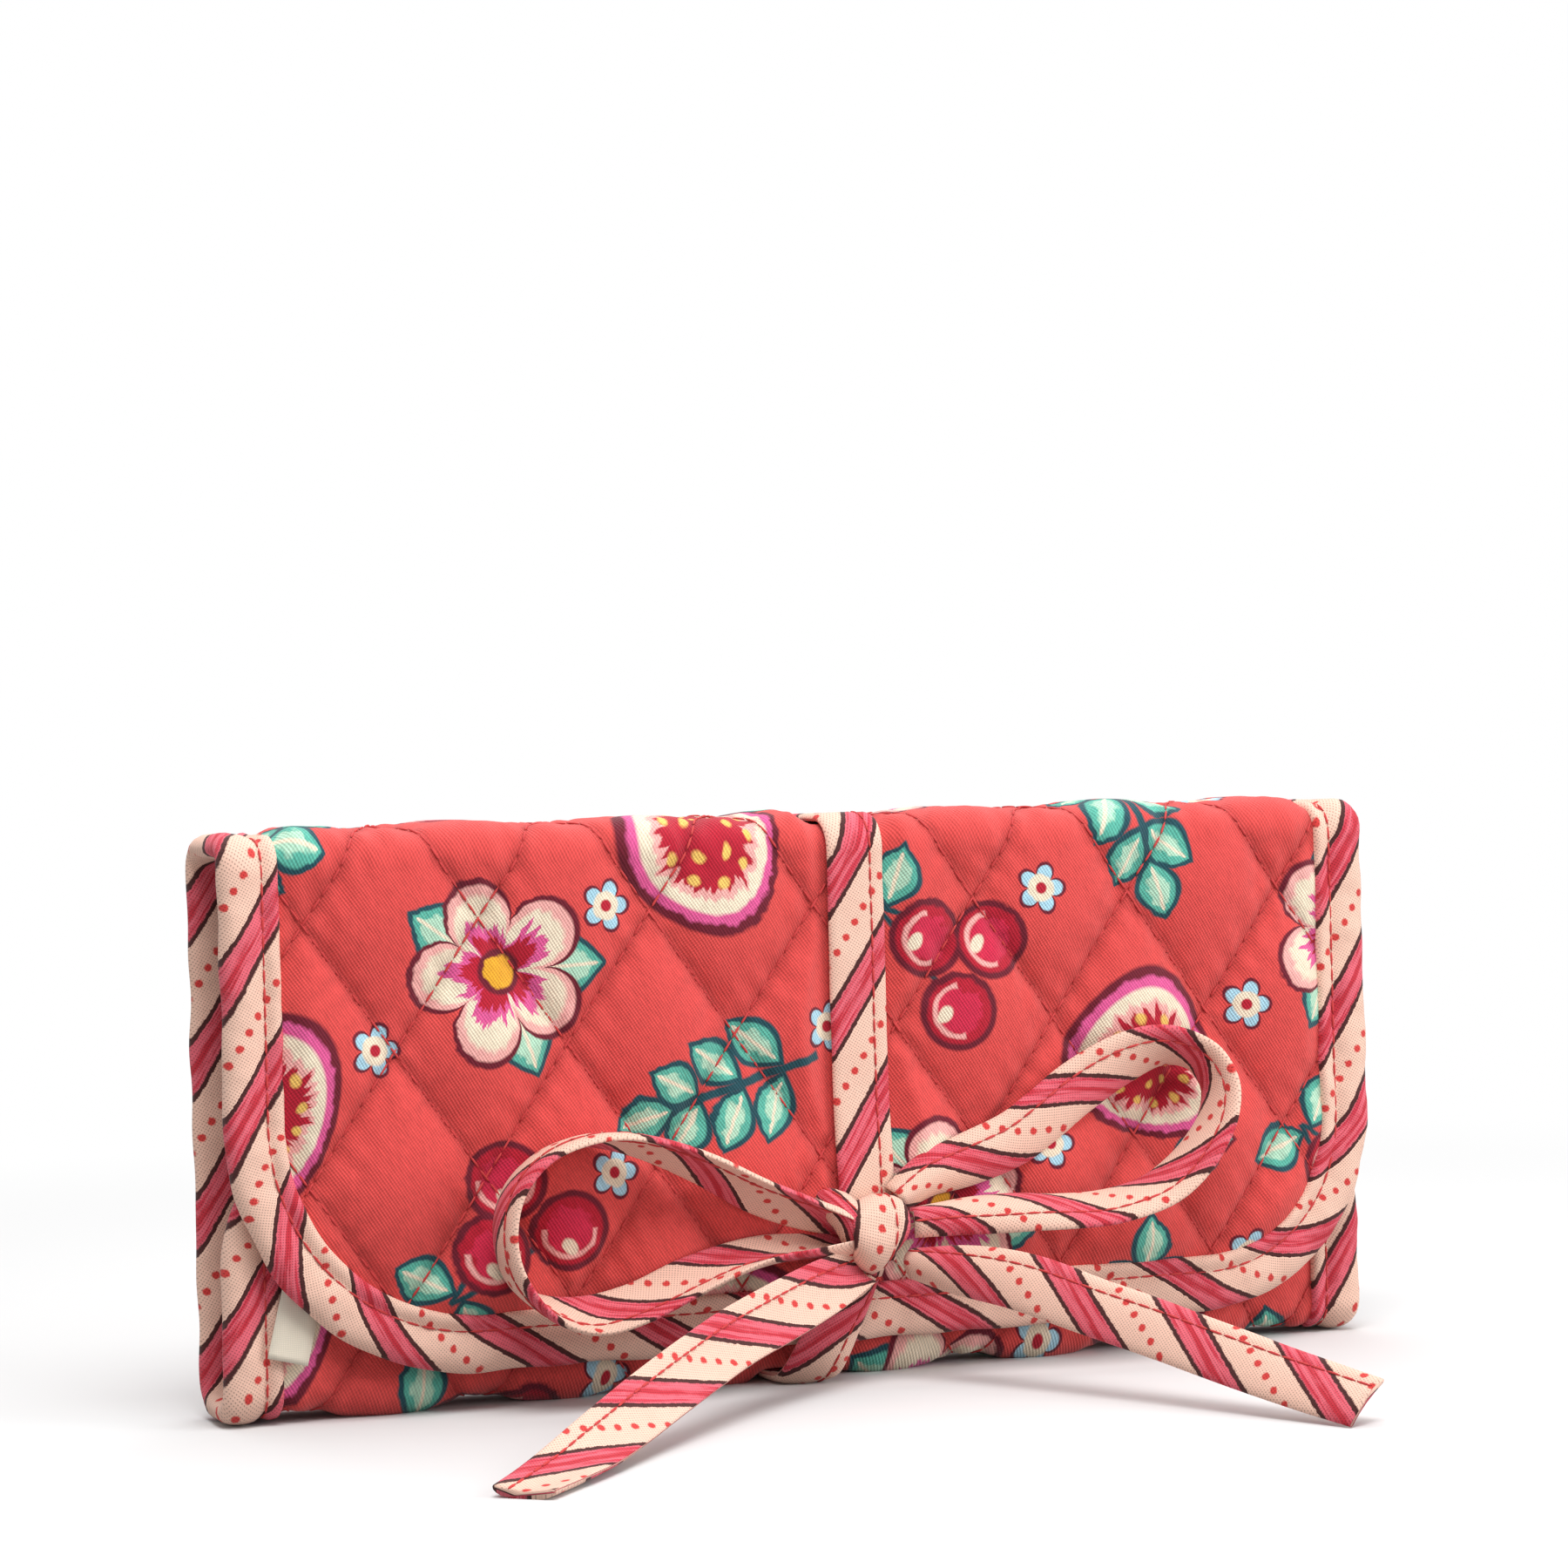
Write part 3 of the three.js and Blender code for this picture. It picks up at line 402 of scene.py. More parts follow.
# Motifs lie in columns, every second column half a step higher, each turned its own way
CELL_X, CELL_S, ENLARGED = 40, 44, 1.4
FULL_TURN = 6.2832
column = (x / CELL_X).floor()
s_shifted = s + (column / 2).part() * CELL_S
row = (s_shifted / CELL_S).floor()
chance = add_node(
    tree, "ShaderNodeTexWhiteNoise", {"Vector": joined(tree, column, row)}, noise_dimensions="2D")
turn, slide, _ = parts_of(tree, chance.outputs["Color"])
cx = x - column * CELL_X - CELL_X / 2 + (slide - 0.5) * 3
cs = s_shifted - row * CELL_S - CELL_S / 2
angle = turn * FULL_TURN
a = (cx * angle.cos() + cs * angle.sin()) / ENLARGED + ragged * 0.5
b = (cs * angle.cos() - cx * angle.sin()) / ENLARGED + ragged * 0.5
reach = hypot(a, b)
bearing = b.math("ARCTAN2", a)
streak = noise(tree, joined(tree, bearing * 7, reach * 0.12, column), 1.0, 3)
order = column + row * 2
kind = order - (order / 4).floor() * 4


def motif(colour, number, painted):
    """Paints a motif's layers in the cells whose turn it is."""
    here = kind.math("COMPARE", float(number), 0.1)
    for share, tint in painted:
        colour = paint(tree, colour, share * here, tint)
    return colour


def union(shapes):
    whole = shapes[0]
    for shape in shapes[1:]:
        whole = whole.least(shape)
    return whole


def leaf_layers(places):
    """A group of leaves, each given by its root, lean, length and breadth."""
    edges = []
    ribs = []
    for root_a, root_b, lean, length, breadth in places:
        along = (a - root_a) * math.cos(lean) + (b - root_b) * math.sin(lean)
        across = (b - root_b) * math.cos(lean) - (a - root_a) * math.sin(lean)
        gone = (along / length).least(1.0).most(0.0)
        edge = abs(across) - (gone * math.pi).sin() * (breadth + 1) + 1
        edges.append(edge)
        ribs.append(abs(across) + (edge + 0.9).most(0.0) * 2 - 0.2)
    edge = union(edges)
    return [
        ((edge - 0.5 + ragged * 0.5).inside(0.3), DEEP_TEAL),
        ((edge + 0.3 + ragged * 0.6).inside(0.3), TEAL),
        ((edge + 1.3 + ragged * 2.4).inside(0.4), PALE_TEAL),
        (union(ribs).inside(0.25), CREAM),
    ]


# Blossom with five round petals, and leaves behind it
petal = abs((bearing * 2.5).cos())
rim = reach - petal ** 0.55 * 5.6 - 5.4
colour = motif(colour, 0, leaf_layers([(0, 0, turn, 14, 4) for turn in (0.63, 3.14, 4.4)]) + [
    ((rim - 0.5 + ragged * 0.8).inside(0.35), MAROON),
    ((rim + 0.35 + ragged * 0.5).inside(0.35), BLUSH),
    ((rim + 1.7 + streak * 3).inside(0.7), CREAM),
    ((reach - petal * 2.8 - 3.8 + streak * 9).inside(0.4), ROSE),
    ((reach - petal * 1.8 - 3.0 + streak * 6).inside(0.4), CRIMSON),
    ((reach - 2.7).inside(0.35), MAROON),
    ((reach - 2.0 + ragged).inside(0.35), MUSTARD),
])

# Sprig with three pairs of leaves and one at its tip
pairs = [(0, root, lean, length, 2.5) for root, lean, length in (
    (-9.5, 0.6, 10), (-9.5, 2.54, 10), (-4, 0.7, 9.5), (-4, 2.44, 9.5), (1.5, 0.85, 8.5), (1.5, 2.29, 8.5),
    (5, 1.57, 9))]
stem = abs(a).most(abs(b + 4) - 9.5) - 0.45
colour = motif(colour, 1, [((stem - 0.1).inside(0.3), DEEP_TEAL)] + leaf_layers(pairs))

# Three berries on thin stalks, with a pair of leaves
spots = [(a - berry_a, b - berry_b) for berry_a, berry_b in ((-4.8, -6.0), (4.9, -4.8), (0.3, 2.4))]
berry = union([hypot(at_a, at_b) - 4.4 for at_a, at_b in spots])
glint = union([hypot(at_a + 1.4, (at_b - 1.3) * 1.5) - 1.2 for at_a, at_b in spots])
shine = union([abs(hypot(at_a, at_b) - 3.1).most(at_a - at_b) - 0.3 for at_a, at_b in spots])
stalk = (abs(abs(a) - (b - 10) * -0.28) - 0.35).most(abs(b - 3) - 7)
leaves = leaf_layers([(0, 8.5, 0.35, 9, 2.7), (0, 8.5, 2.8, 9, 2.7)])
colour = motif(colour, 2, [(stalk.inside(0.3), DEEP_TEAL)] + leaves + [
    ((berry - 0.45 + ragged * 0.5).inside(0.35), MAROON),
    ((berry + 0.35 + ragged * 0.5).inside(0.35), CRIMSON),
    ((berry + 1.6 + ragged * 3).inside(0.5), RUBY),
    (shine.inside(0.3), BLUSH),
    (glint.inside(0.4), CREAM),
])

# Cut fig with its seeds
pear = hypot(a * (b * 0.03 + 1), b * 0.86 + 0.8)
seeds = union([
    hypot(pear - ring, ((bearing * (count / FULL_TURN)).part() - 0.5) * (FULL_TURN / count) * ring) - 0.55
    for ring, count in ((2.6, 6), (4.9, 11))])
stub = abs(a).most(abs(b - 11.6) - 1.6) - 0.7
colour = motif(colour, 3, leaf_layers([(0, 9.5, 0.5, 9, 2.6)]) + [
    ((stub - 0.5).inside(0.3), MAROON),
    (stub.inside(0.3), TEAL),
    ((pear - 9.6 + ragged * 0.6).inside(0.35), MAROON),
    ((pear - 8.7 + ragged * 0.9 + streak).inside(0.35), ROSE),
    ((pear - 7.7 + ragged * 0.5).inside(0.35), CREAM),
    ((pear - 6.4 + streak * 4).inside(0.35), BLUSH),
    ((pear - 5.4 + streak * 7).inside(0.4), CRIMSON),
    (seeds.inside(0.3), HONEY),
])

# Small florets between the columns
step = (x / CELL_X + 0.5).floor()
fx = x - step * CELL_X
fs = ((s / CELL_S + (step * 0.5).part() + 0.27).part() - 0.5) * CELL_S
spread = hypot(fx, fs)
petals = fs.math("ARCTAN2", fx) * 2.5
floret = spread - abs(petals.cos()) ** 0.6 * 2.6 - 1.7
for share, tint in (
    ((floret - 0.4 + ragged * 0.6).inside(0.3), MAROON),
    ((floret + 0.25 + ragged * 0.6).inside(0.3), PALE_BLUE),
    ((spread - 2.4 + ragged).inside(0.4), CREAM),
    ((spread - 1.0).inside(0.3), CRIMSON),
):
    colour = paint(tree, colour, share, tint)

# Twill ridges, and the threads that cross them
across = x * 0.839 + s * 0.545
along = x * 0.545 - s * 0.839
weave = across.wave(0.49) * 0.32 + along.wave(0.42) * 0.18 + 0.5
slub = noise(tree, joined(tree, across * 2.6, along * 0.5), 1.0, 3)

# Painted shade: the cloth's colour is darkened in and beside the sewn creases, where shade falls between the
# puffs
off_first, off_second = (abs((line + 0.5).part() - 0.5) * LINES_APART for line in sewn_lines(x, s))
crease_painted_shade = (off_first.least(off_second) - 0.9).inside(1.8)
shade = (weave * 0.44 + 0.78 + slub * 0.6) * (crease_painted_shade * -0.26 + 1)
feed(tree, result, {"Color": shaded(tree, colour, shade), "Height": weave.socket})
garden_twill = tree


def material_from(name, group, settings, field=None, tint=None, relief=None):
    """A material whose looks come from a shared group that reads one field of the mesh, or else its place."""
    material = bpy.data.materials.new(name)
    material.use_nodes = True
    tree = material.node_tree
    shader = tree.nodes["Principled BSDF"]
    feed(tree, shader, settings)
    if field:
        source = add_node(tree, "ShaderNodeAttribute", attribute_name=field).outputs["Vector"]
    else:
        source = add_node(tree, "ShaderNodeTexCoord").outputs["Object"]
    looks = add_node(tree, "ShaderNodeGroup", {0: source}, node_tree=group)
    if tint:
        feed(tree, looks, {"Tint": (*tint, 1)})
    for output in looks.outputs:
        if output.name == "Height":
            strength, distance = relief
            bump = add_node(
                tree, "ShaderNodeBump", {"Strength": strength, "Distance": distance, "Height": output})
            feed(tree, shader, {"Normal": bump.outputs["Normal"]})
        else:
            feed(tree, shader, {"Base Color" if output.name == "Color" else output.name: output})
    return material


def cloth_material(name, group, field, depth, sheen, tint=None, roughness=0.86):
    settings = {
        "Roughness": roughness, "Specular IOR Level": 0.25, "Sheen Weight": sheen, "Sheen Roughness": 0.5}
    return material_from(name, group, settings, field, tint, (0.7, depth))


twill = cloth_material("printed_twill", garden_twill, "cloth", 0.00014, 0.16)

# Stretches of cloth, each lying across one fold: where it starts and ends along the strip, the body on each
# side, and a point on each
TOP_SPLIT, BACK_SPLIT, LOW_SPLIT = 95.65, 149.3, 200.66
STRETCHES = {
    "flap": (0, TOP_SPLIT, "flap", "top_spine", (0, -0.012, 0.090), (0, -0.006, 0.096)),
    "upper_back": (TOP_SPLIT, BACK_SPLIT, "top_spine", "back_panel", (0, 0.006, 0.096), (0, 0.012, 0.090)),
    "lower_back": (BACK_SPLIT, LOW_SPLIT, "back_panel", "bottom_spine", (0, 0.012, 0.006), (0, 0.006, 0.0)),
    "inner": (LOW_SPLIT, LENGTH, "bottom_spine", "inner_panel", (0, -0.0014, 0.0), (0, -0.0074, 0.006)),
}
LAYER_NODES = {
    "flap": ("flap", "top"), "upper_back": ("back",), "lower_back": ("bottom",), "inner": ("inner",),
}


def half_width(s, side, inset):
    """Half width of the cloth at a distance along the strip, narrowing round its end corners."""
    half = np.full(np.shape(s), HALF - inset, float)
    for end, corners in ((s - HEM, HEM_CORNERS), (LENGTH - s, INNER_CORNERS)):
        r = corners[side] - inset
        rest = np.clip(r - (end - inset), 0, r)
        half = np.minimum(half, HALF - corners[side] + np.sqrt(np.maximum(r * r - rest * rest, 0)))
    return half


def cloth_grid(s0, s1, inset, step):
    rows = np.linspace(max(s0, HEM + inset), min(s1, LENGTH - inset), int((s1 - s0) / step) + 1)
    across = np.linspace(-1, 1, int(2 * HALF / step) + 1)
    left, right = (half_width(rows, side, inset)[:, None] for side in (0, 1))
    x = np.where(across < 0, left, right) * across
    return x, np.broadcast_to(rows[:, None], x.shape)


def bend(piece, stretch):
    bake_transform(piece)


for stretch, (s0, s1, *_) in STRETCHES.items():
    x, s = cloth_grid(s0, s1, 1.3, 0.75)
    piece = make_piece(
        f"quilted_{stretch}", on_cloth(x, s, shell_height(x, s)), grid_faces(*x.shape), twill,
        cloth=vectors(x, s, 0))
    bend(piece, stretch)
    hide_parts(*(f"{layer}_shell" for layer in LAYER_NODES[stretch]))


# Stitches
# Red cotton thread, lockstitched: each stitch lies on the cloth and dips into it at both ends.
THREAD_DARK, THREAD_LIGHT = (0.41, 0.020, 0.022), (0.59, 0.048, 0.046)
tree, given, result = node_group("spun_thread", {"Place": "Vector"}, {"Color": "Color"})
shade = noise(tree, given.outputs["Place"], 900, 2) + 0.5
feed(tree, result, {"Color": paint(tree, THREAD_DARK, shade, THREAD_LIGHT)})
thread = material_from("red_thread", tree, {"Roughness": 0.7})

STITCH, THREAD = 2.8, 0.44
stitching, entry, leave = node_group(
    "stitch_rows", {"Geometry": "Geometry", "Stitch length": "Float", "Thread width": "Float"},
    {"Geometry": "Geometry"}, "GeometryNodeTree")
stitch_long, thread_wide = entry.outputs["Stitch length"], entry.outputs["Thread width"]
line = add_node(stitching, "GeometryNodeMeshToCurve", {"Mesh": entry.outputs["Geometry"]})
spaced = add_node(
    stitching, "GeometryNodeResampleCurve", {"Curve": line.outputs["Curve"], "Length": stitch_long},
    mode="LENGTH")
bead = add_node(stitching, "GeometryNodeMeshUVSphere", {"Segments": 6, "Rings": 5, "Radius": 0.5})
tangent = add_node(stitching, "GeometryNodeInputTangent")
along = add_node(
    stitching, "FunctionNodeAlignRotationToVector", {"Vector": tangent.outputs["Tangent"]}, axis="X")
outward = add_node(
    stitching, "GeometryNodeInputNamedAttribute", {"Name": "outward"}, data_type="FLOAT_VECTOR")
upright = add_node(
    stitching, "FunctionNodeAlignRotationToVector",
    {"Rotation": along.outputs["Rotation"], "Vector": outward.outputs["Attribute"]}, axis="Z", pivot_axis="X")
laid = add_node(stitching, "ShaderNodeMath", {0: stitch_long, 1: 1.02}, operation="MULTIPLY")
shape = add_node(
    stitching, "ShaderNodeCombineXYZ", {"X": laid.outputs[0], "Y": thread_wide, "Z": thread_wide})
copies = add_node(stitching, "GeometryNodeInstanceOnPoints", {
    "Points": spaced.outputs["Curve"], "Instance": bead.outputs["Mesh"],
    "Rotation": upright.outputs["Rotation"], "Scale": shape.outputs[0]})
real = add_node(stitching, "GeometryNodeRealizeInstances", {"Geometry": copies.outputs["Instances"]})
dyed = add_node(
    stitching, "GeometryNodeSetMaterial", {"Geometry": real.outputs["Geometry"], "Material": thread})
feed(stitching, leave, {"Geometry": dyed.outputs["Geometry"]})


def sew(name, rows, width=THREAD):
    """Stitches along rows of points in metres, each given with the outward directions at its points."""
    points = np.concatenate([row for row, _ in rows])
    edges = []
    start = 0
    for row, _ in rows:
        edges += [(start + i, start + i + 1) for i in range(len(row) - 1)]
        start += len(row)
    mesh = bpy.data.meshes.new(name)
    mesh.from_pydata(points.tolist(), edges, [])
    ways = mesh.attributes.new("outward", "FLOAT_VECTOR", "POINT").data
    ways.foreach_set("vector", np.concatenate([way for _, way in rows]).astype(np.float32).ravel())
    piece = bpy.data.objects.new(name, mesh)
    bpy.context.collection.objects.link(piece)
    modifier = piece.modifiers.new("stitches", "NODES")
    modifier.node_group = stitching
    for socket, value in (("Stitch length", STITCH), ("Thread width", width)):
        modifier[stitching.interface.items_tree[socket].identifier] = value / 1000
    done = bpy.data.meshes.new_from_object(piece.evaluated_get(bpy.context.evaluated_depsgraph_get()))
    piece.modifiers.clear()
    piece.data = done
    done.name = name
    done.polygons.foreach_set("use_smooth", np.ones(len(done.polygons), bool))
    return piece


def quilting_rows(s0, s1, height, side):
    """The sewn diamond lines of one stretch, on one side of the cloth, clear of the binding."""
    rows = []
    s = np.arange(max(s0, HEM), s1, 0.7)
    for way in (1, -1):
        for n in range(-9, 10):
            x = CROSS_X + DIAMOND_X * (n + way * (s - CROSS_S) / DIAMOND_S)
            clear = (np.abs(x) < HALF) & (from_edge(x, s) > 9)
            if clear.sum() > 4:
                x_on, s_on = x[clear], s[clear]
                laid_on = on_cloth(x_on, s_on, height(x_on, s_on) + 0.12 * side)
                rows.append((laid_on, side * out_of_cloth(s_on)))
    return rows


for stretch, (s0, s1, *_) in STRETCHES.items():
    bend(sew(f"quilting_{stretch}", quilting_rows(s0, s1, shell_height, 1)), stretch)


# Bias binding
# Cotton tape printed in slanting stripes, folded over the raw edge of the cloth and sewn down
# close to its inner fold, which stands up a little as a lip.
STRIPE, DOTS_APART = 13.4, 3.05
TAPE_CREAM, TAPE_PALE = (0.77, 0.48, 0.375), (0.81, 0.535, 0.425)
TAPE_PINK, TAPE_CRIMSON, TAPE_STREAK = (0.70, 0.125, 0.165), (0.49, 0.027, 0.044), (0.54, 0.036, 0.062)
TAPE_LINE, TAPE_DOT = (0.060, 0.015, 0.014), (0.59, 0.046, 0.042)

tree, given, result = node_group("striped_tape", {"Tape": "Vector"}, {"Color": "Color", "Height": "Float"})
tape = given.outputs["Tape"]
u, v, lean = parts_of(tree, tape)
size = hypot(lean, lean * 0 + 1)
over = (u + lean * v) / size
along = (lean * u - v) / size
ragged = noise(tree, tape, 1.5, 3)
phase = ((over + ragged * 0.55) / STRIPE).part()
middle = abs(phase - 0.2075)
streaky = noise(tree, joined(tree, along * 0.07, over, lean), 1.5, 4)
colour = paint(tree, TAPE_CREAM, noise(tree, tape, 0.12) + 0.5, TAPE_PALE)
pink = paint(tree, TAPE_PINK, (middle - 0.042 + streaky * 0.26).inside(0.05), TAPE_CRIMSON)
pink = paint(tree, pink, (abs(middle - 0.115) - 0.008 + streaky * 0.22).inside(0.03), TAPE_STREAK)
colour = paint(tree, colour, (middle - 0.19).inside(0.014), pink)
colour = paint(tree, colour, (abs(middle - 0.185) - 0.03).inside(0.014), TAPE_LINE)
dot_along = ((along / DOTS_APART).part() - 0.5) * DOTS_APART
dot = hypot((phase - 0.7075) * STRIPE, dot_along) - 0.66 + ragged * 0.3
colour = paint(tree, colour, dot.inside(0.26), TAPE_DOT)
weave = ((along.wave(0.46) + 1) * (over.wave(0.46) + 1) / 4) ** 2
shade = weave * -0.6 + 1.06 + ragged * 0.16
feed(tree, result, {"Color": shaded(tree, colour, shade), "Height": (weave * -1.0).socket})
striped_tape = tree
striped = cloth_material("striped_cotton", striped_tape, "tape", 0.00010, 0.08)

BINDING_LEAN = 1.6
BINDING_START = 19.2
BINDING_STITCH = (6.9, 1.3)
PROFILE = np.array([
    (9.75, 0.5), (9.72, 1.2), (9.4, 1.75), (8.8, 1.95), (8.1, 1.85), (7.4, 1.5), (6.9, 1.2), (6.4, 1.45),
    (5.4, 1.9), (4.2, 2.12), (3.0, 2.15), (1.9, 2.0), (1.0, 1.6), (0.35, 1.0), (0.0, 0.1), (0.12, -0.7),
    (0.6, -1.35), (1.6, -1.75), (3.2, -1.9), (5.5, -1.9), (7.8, -1.85), (9.0, -1.65), (9.3, -1.0),
])
PROFILE_ACROSS = np.where(PROFILE[:, 1] > 0.05, PROFILE[:, 0], -PROFILE[:, 0])


def round_end(reach, corners):
    """The edge of a cloth end from its left side round to its right, as points (x, distance from the
    end) and the way in from each point."""
    edge = []
    inward = []
    for side, corner in zip((-1, 1), corners):
        down = np.linspace(reach, corner, int(reach - corner) + 2)[:-1]
        turn = np.linspace(0, math.pi / 2, int(corner * 1.3))
        x = np.concatenate([0 * down + HALF, HALF - corner + corner * np.cos(turn)])
        end = np.concatenate([down, corner - corner * np.sin(turn)])
        way_x = np.concatenate([0 * down - 1, -np.cos(turn)])
        way_end = np.concatenate([0 * down, np.sin(turn)])
        edge.append(vectors(side * x, end))
        inward.append(vectors(side * way_x, way_end))
    hem = np.linspace(-HALF + corners[0], HALF - corners[1], 130)[1:-1]
    flat = vectors(hem, 0)
    up = vectors(0 * hem, 1)
    return np.concatenate([edge[0], flat, edge[1][::-1]]), np.concatenate([inward[0], up, inward[1][::-1]])


def gone_along(points):
    return np.concatenate([[0], np.cumsum(np.linalg.norm(np.diff(points, axis=0), axis=1))])


def edge_route(kind, s0, s1):
    """Points along a bound edge, the way in from it, and the distance along the tape."""
    if kind == "hem":
        edge, inward = round_end(s1 - HEM, HEM_CORNERS)
        gone = gone_along(edge) - s1
        edge[:, 1] += HEM
        return edge, inward, gone
    if kind == "end":
        edge, inward = round_end(LENGTH - s0, INNER_CORNERS)
        gone = -s0 - gone_along(edge)
        edge[:, 1] = LENGTH - edge[:, 1]
        inward[:, 1] *= -1
        return edge, inward, gone
    side = -1 if kind == "left" else 1
    s = np.linspace(s0, s1, int(s1 - s0) + 1)
    edge = vectors(side * HALF, s)
    inward = vectors(-side, 0 * s)
    return edge, inward, s * side + (HEM_ROUND if side > 0 else 0)


_, _, hem_gone = edge_route("hem", 0, TOP_SPLIT)
HEM_ROUND = hem_gone[-1] - TOP_SPLIT


def on_edge(route, d, w):
    edge, inward, _ = route
    place = edge + inward * np.asarray(d)[..., None]
    return on_cloth(place[..., 0], place[..., 1], w), out_of_cloth(place[..., 1])


def make_binding(name, kind, stretch, nodes):
    s0, s1, *_ = STRETCHES[stretch]
    route = edge_route(kind, s0, s1)
    gone = route[2]
    points = []
    fields = []
    for (d, w), v in zip(PROFILE, PROFILE_ACROSS):
        waver = 0.18 * ripple(gone, v, 13, 5) + 0.12 * ripple(gone, v, 6, 7)
        lift = waver * np.sign(w) * min(1, abs(w))
        shift = 0.3 * ripple(gone, 0, 21, 9) * (1 - d / 12)
        points.append(on_edge(route, d + shift, w + lift)[0])
        fields.append(vectors(gone + BINDING_START, v, BINDING_LEAN))
    points, fields = np.stack(points, axis=1), np.stack(fields, axis=1)
    piece = make_piece(
        name, points, grid_faces(*points.shape[:2], flip=kind in ("right", "hem")), striped, tape=fields)
    bend(piece, stretch)
    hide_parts(*nodes)
    seam = on_edge(route, *BINDING_STITCH)
    bend(sew(f"{name}_stitches", [seam]), stretch)


for row in (
    ("binding_flap", "hem", "flap", ("flap_binding", "top_binding_left", "top_binding_right")),
    ("binding_upper_left", "left", "upper_back", ("back_binding_left",)),
    ("binding_upper_right", "right", "upper_back", ("back_binding_right",)),
    ("binding_lower_left", "left", "lower_back", ("bottom_binding_left",)),
    ("binding_lower_right", "right", "lower_back", ("bottom_binding_right",)),
    ("binding_inner", "end", "inner", ("inner_binding",)),
):
    make_binding(*row)


# Tie
# The same striped tape folded to a flat ribbon and sewn shut along one side. It goes round the
# roll and is tied in a bow on the flap; the bow's ribbons are limp.
TIE_LEAN = 1.5
RIBBON = np.array([
    (0, 0.5), (0.12, 0.85), (0.5, 1.15), (1.5, 1.3), (3, 1.36), (5, 1.38), (6.6, 1.34), (7.3, 1.25),
    (7.7, 1.12), (8.1, 1.25), (8.9, 1.3), (9.7, 1.15), (10.2, 0.85), (10.3, 0.5), (10.2, 0.2), (9.7, 0.03),
    (7.7, 0), (5, 0), (2.5, 0), (0.6, 0.03), (0.12, 0.2),
])
RIBBON_WIDE = 10.3
RIBBON_TOP = 14
RIBBON_ACROSS = np.where(np.arange(len(RIBBON)) < RIBBON_TOP, RIBBON[:, 0], 2 * RIBBON_WIDE - RIBBON[:, 0])
TOPSTITCH = 7.7


def ribbon_fields(gone, lean):
    return np.stack([vectors(gone, v, lean) for v in RIBBON_ACROSS], axis=1)


def make_strap(name, stretch, s0, s1, bed, nodes):
    s = np.linspace(s0, s1, int((s1 - s0) / 0.8) + 2)
    points = []
    for v, h in RIBBON:
        wave = 0.14 * ripple(s, v, 17, 4)
        points.append(on_cloth(tie_x(s) + v - RIBBON_WIDE / 2, s, bed + h + wave))
    points = np.stack(points, axis=1)
    piece = make_piece(
        name, points, grid_faces(*points.shape[:2], ring=True), striped,
        tape=ribbon_fields(s + 0.5, -TIE_LEAN))
    seam_x = tie_x(s) + TOPSTITCH - RIBBON_WIDE / 2
    seam_w = bed + 1.25 + 0.14 * ripple(s, TOPSTITCH, 17, 4)
    stitches = sew(f"{name}_stitches", [(on_cloth(seam_x, s, seam_w), out_of_cloth(s))])
    bend(piece, stretch)
    bend(stitches, stretch)
    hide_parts(*nodes)


make_strap("tie_front", "flap", 14, TOP_SPLIT, 1.2, ("tie_flap_strap", "tie_top_strap"))
make_strap("tie_behind", "upper_back", TOP_SPLIT, BACK_SPLIT, 1.0, ("tie_back_strap",))
make_strap("tie_under", "lower_back", BACK_SPLIT, LOW_SPLIT, 1.0, ("tie_bottom_strap",))
make_strap("tie_inside", "inner", LOW_SPLIT, 205.5, 1.0, ("tie_inner_strap",))


def between(first, last, t, start, end):
    return (first * (end - t) + last * (t - start)) / (end - start)


def through(points, count):
    """A smooth line through points, with the spacing between them taken into account."""
    points = np.asarray(points, float)
    line = np.vstack([2 * points[0] - points[1], points, 2 * points[-1] - points[-2]])
    knots = np.concatenate([[0], np.cumsum(np.linalg.norm(np.diff(line[:, :3], axis=0), axis=1) ** 0.5)])
    samples = []
    for i in range(1, len(line) - 2):
        t0, t1, t2, t3 = knots[i - 1:i + 3]
        last = i == len(line) - 3
        for t in np.linspace(t1, t2, count + 1)[:count + 1 if last else count]:
            a1 = between(line[i - 1], line[i], t, t0, t1)
            a2 = between(line[i], line[i + 1], t, t1, t2)
            a3 = between(line[i + 1], line[i + 2], t, t2, t3)
            b1 = between(a1, a2, t, t0, t2)
            b2 = between(a2, a3, t, t1, t3)
            samples.append(between(b1, b2, t, t1, t2))
    return np.array(samples)


def unit(ways):
    return ways / np.linalg.norm(ways, axis=-1, keepdims=True)


def ribbon_frames(rows, count):
    """Middle line, side and face directions, and width along a free ribbon, in millimetres."""
    samples = through(rows, count)
    middle = samples[:, :3]
    along = unit(np.gradient(middle, axis=0))
    side = samples[:, 3:6]
    side = unit(side - along * np.sum(side * along, axis=1, keepdims=True))
    return middle, side, np.cross(along, side), samples[:, 6]


def tube_faces(rows, columns):
    """Quads round a tube of points, with both of its ends closed."""
    last = (rows - 1) * columns
    ends = [tuple(range(columns))[::-1], tuple(range(last, last + columns))]
    return grid_faces(rows, columns, ring=True) + ends


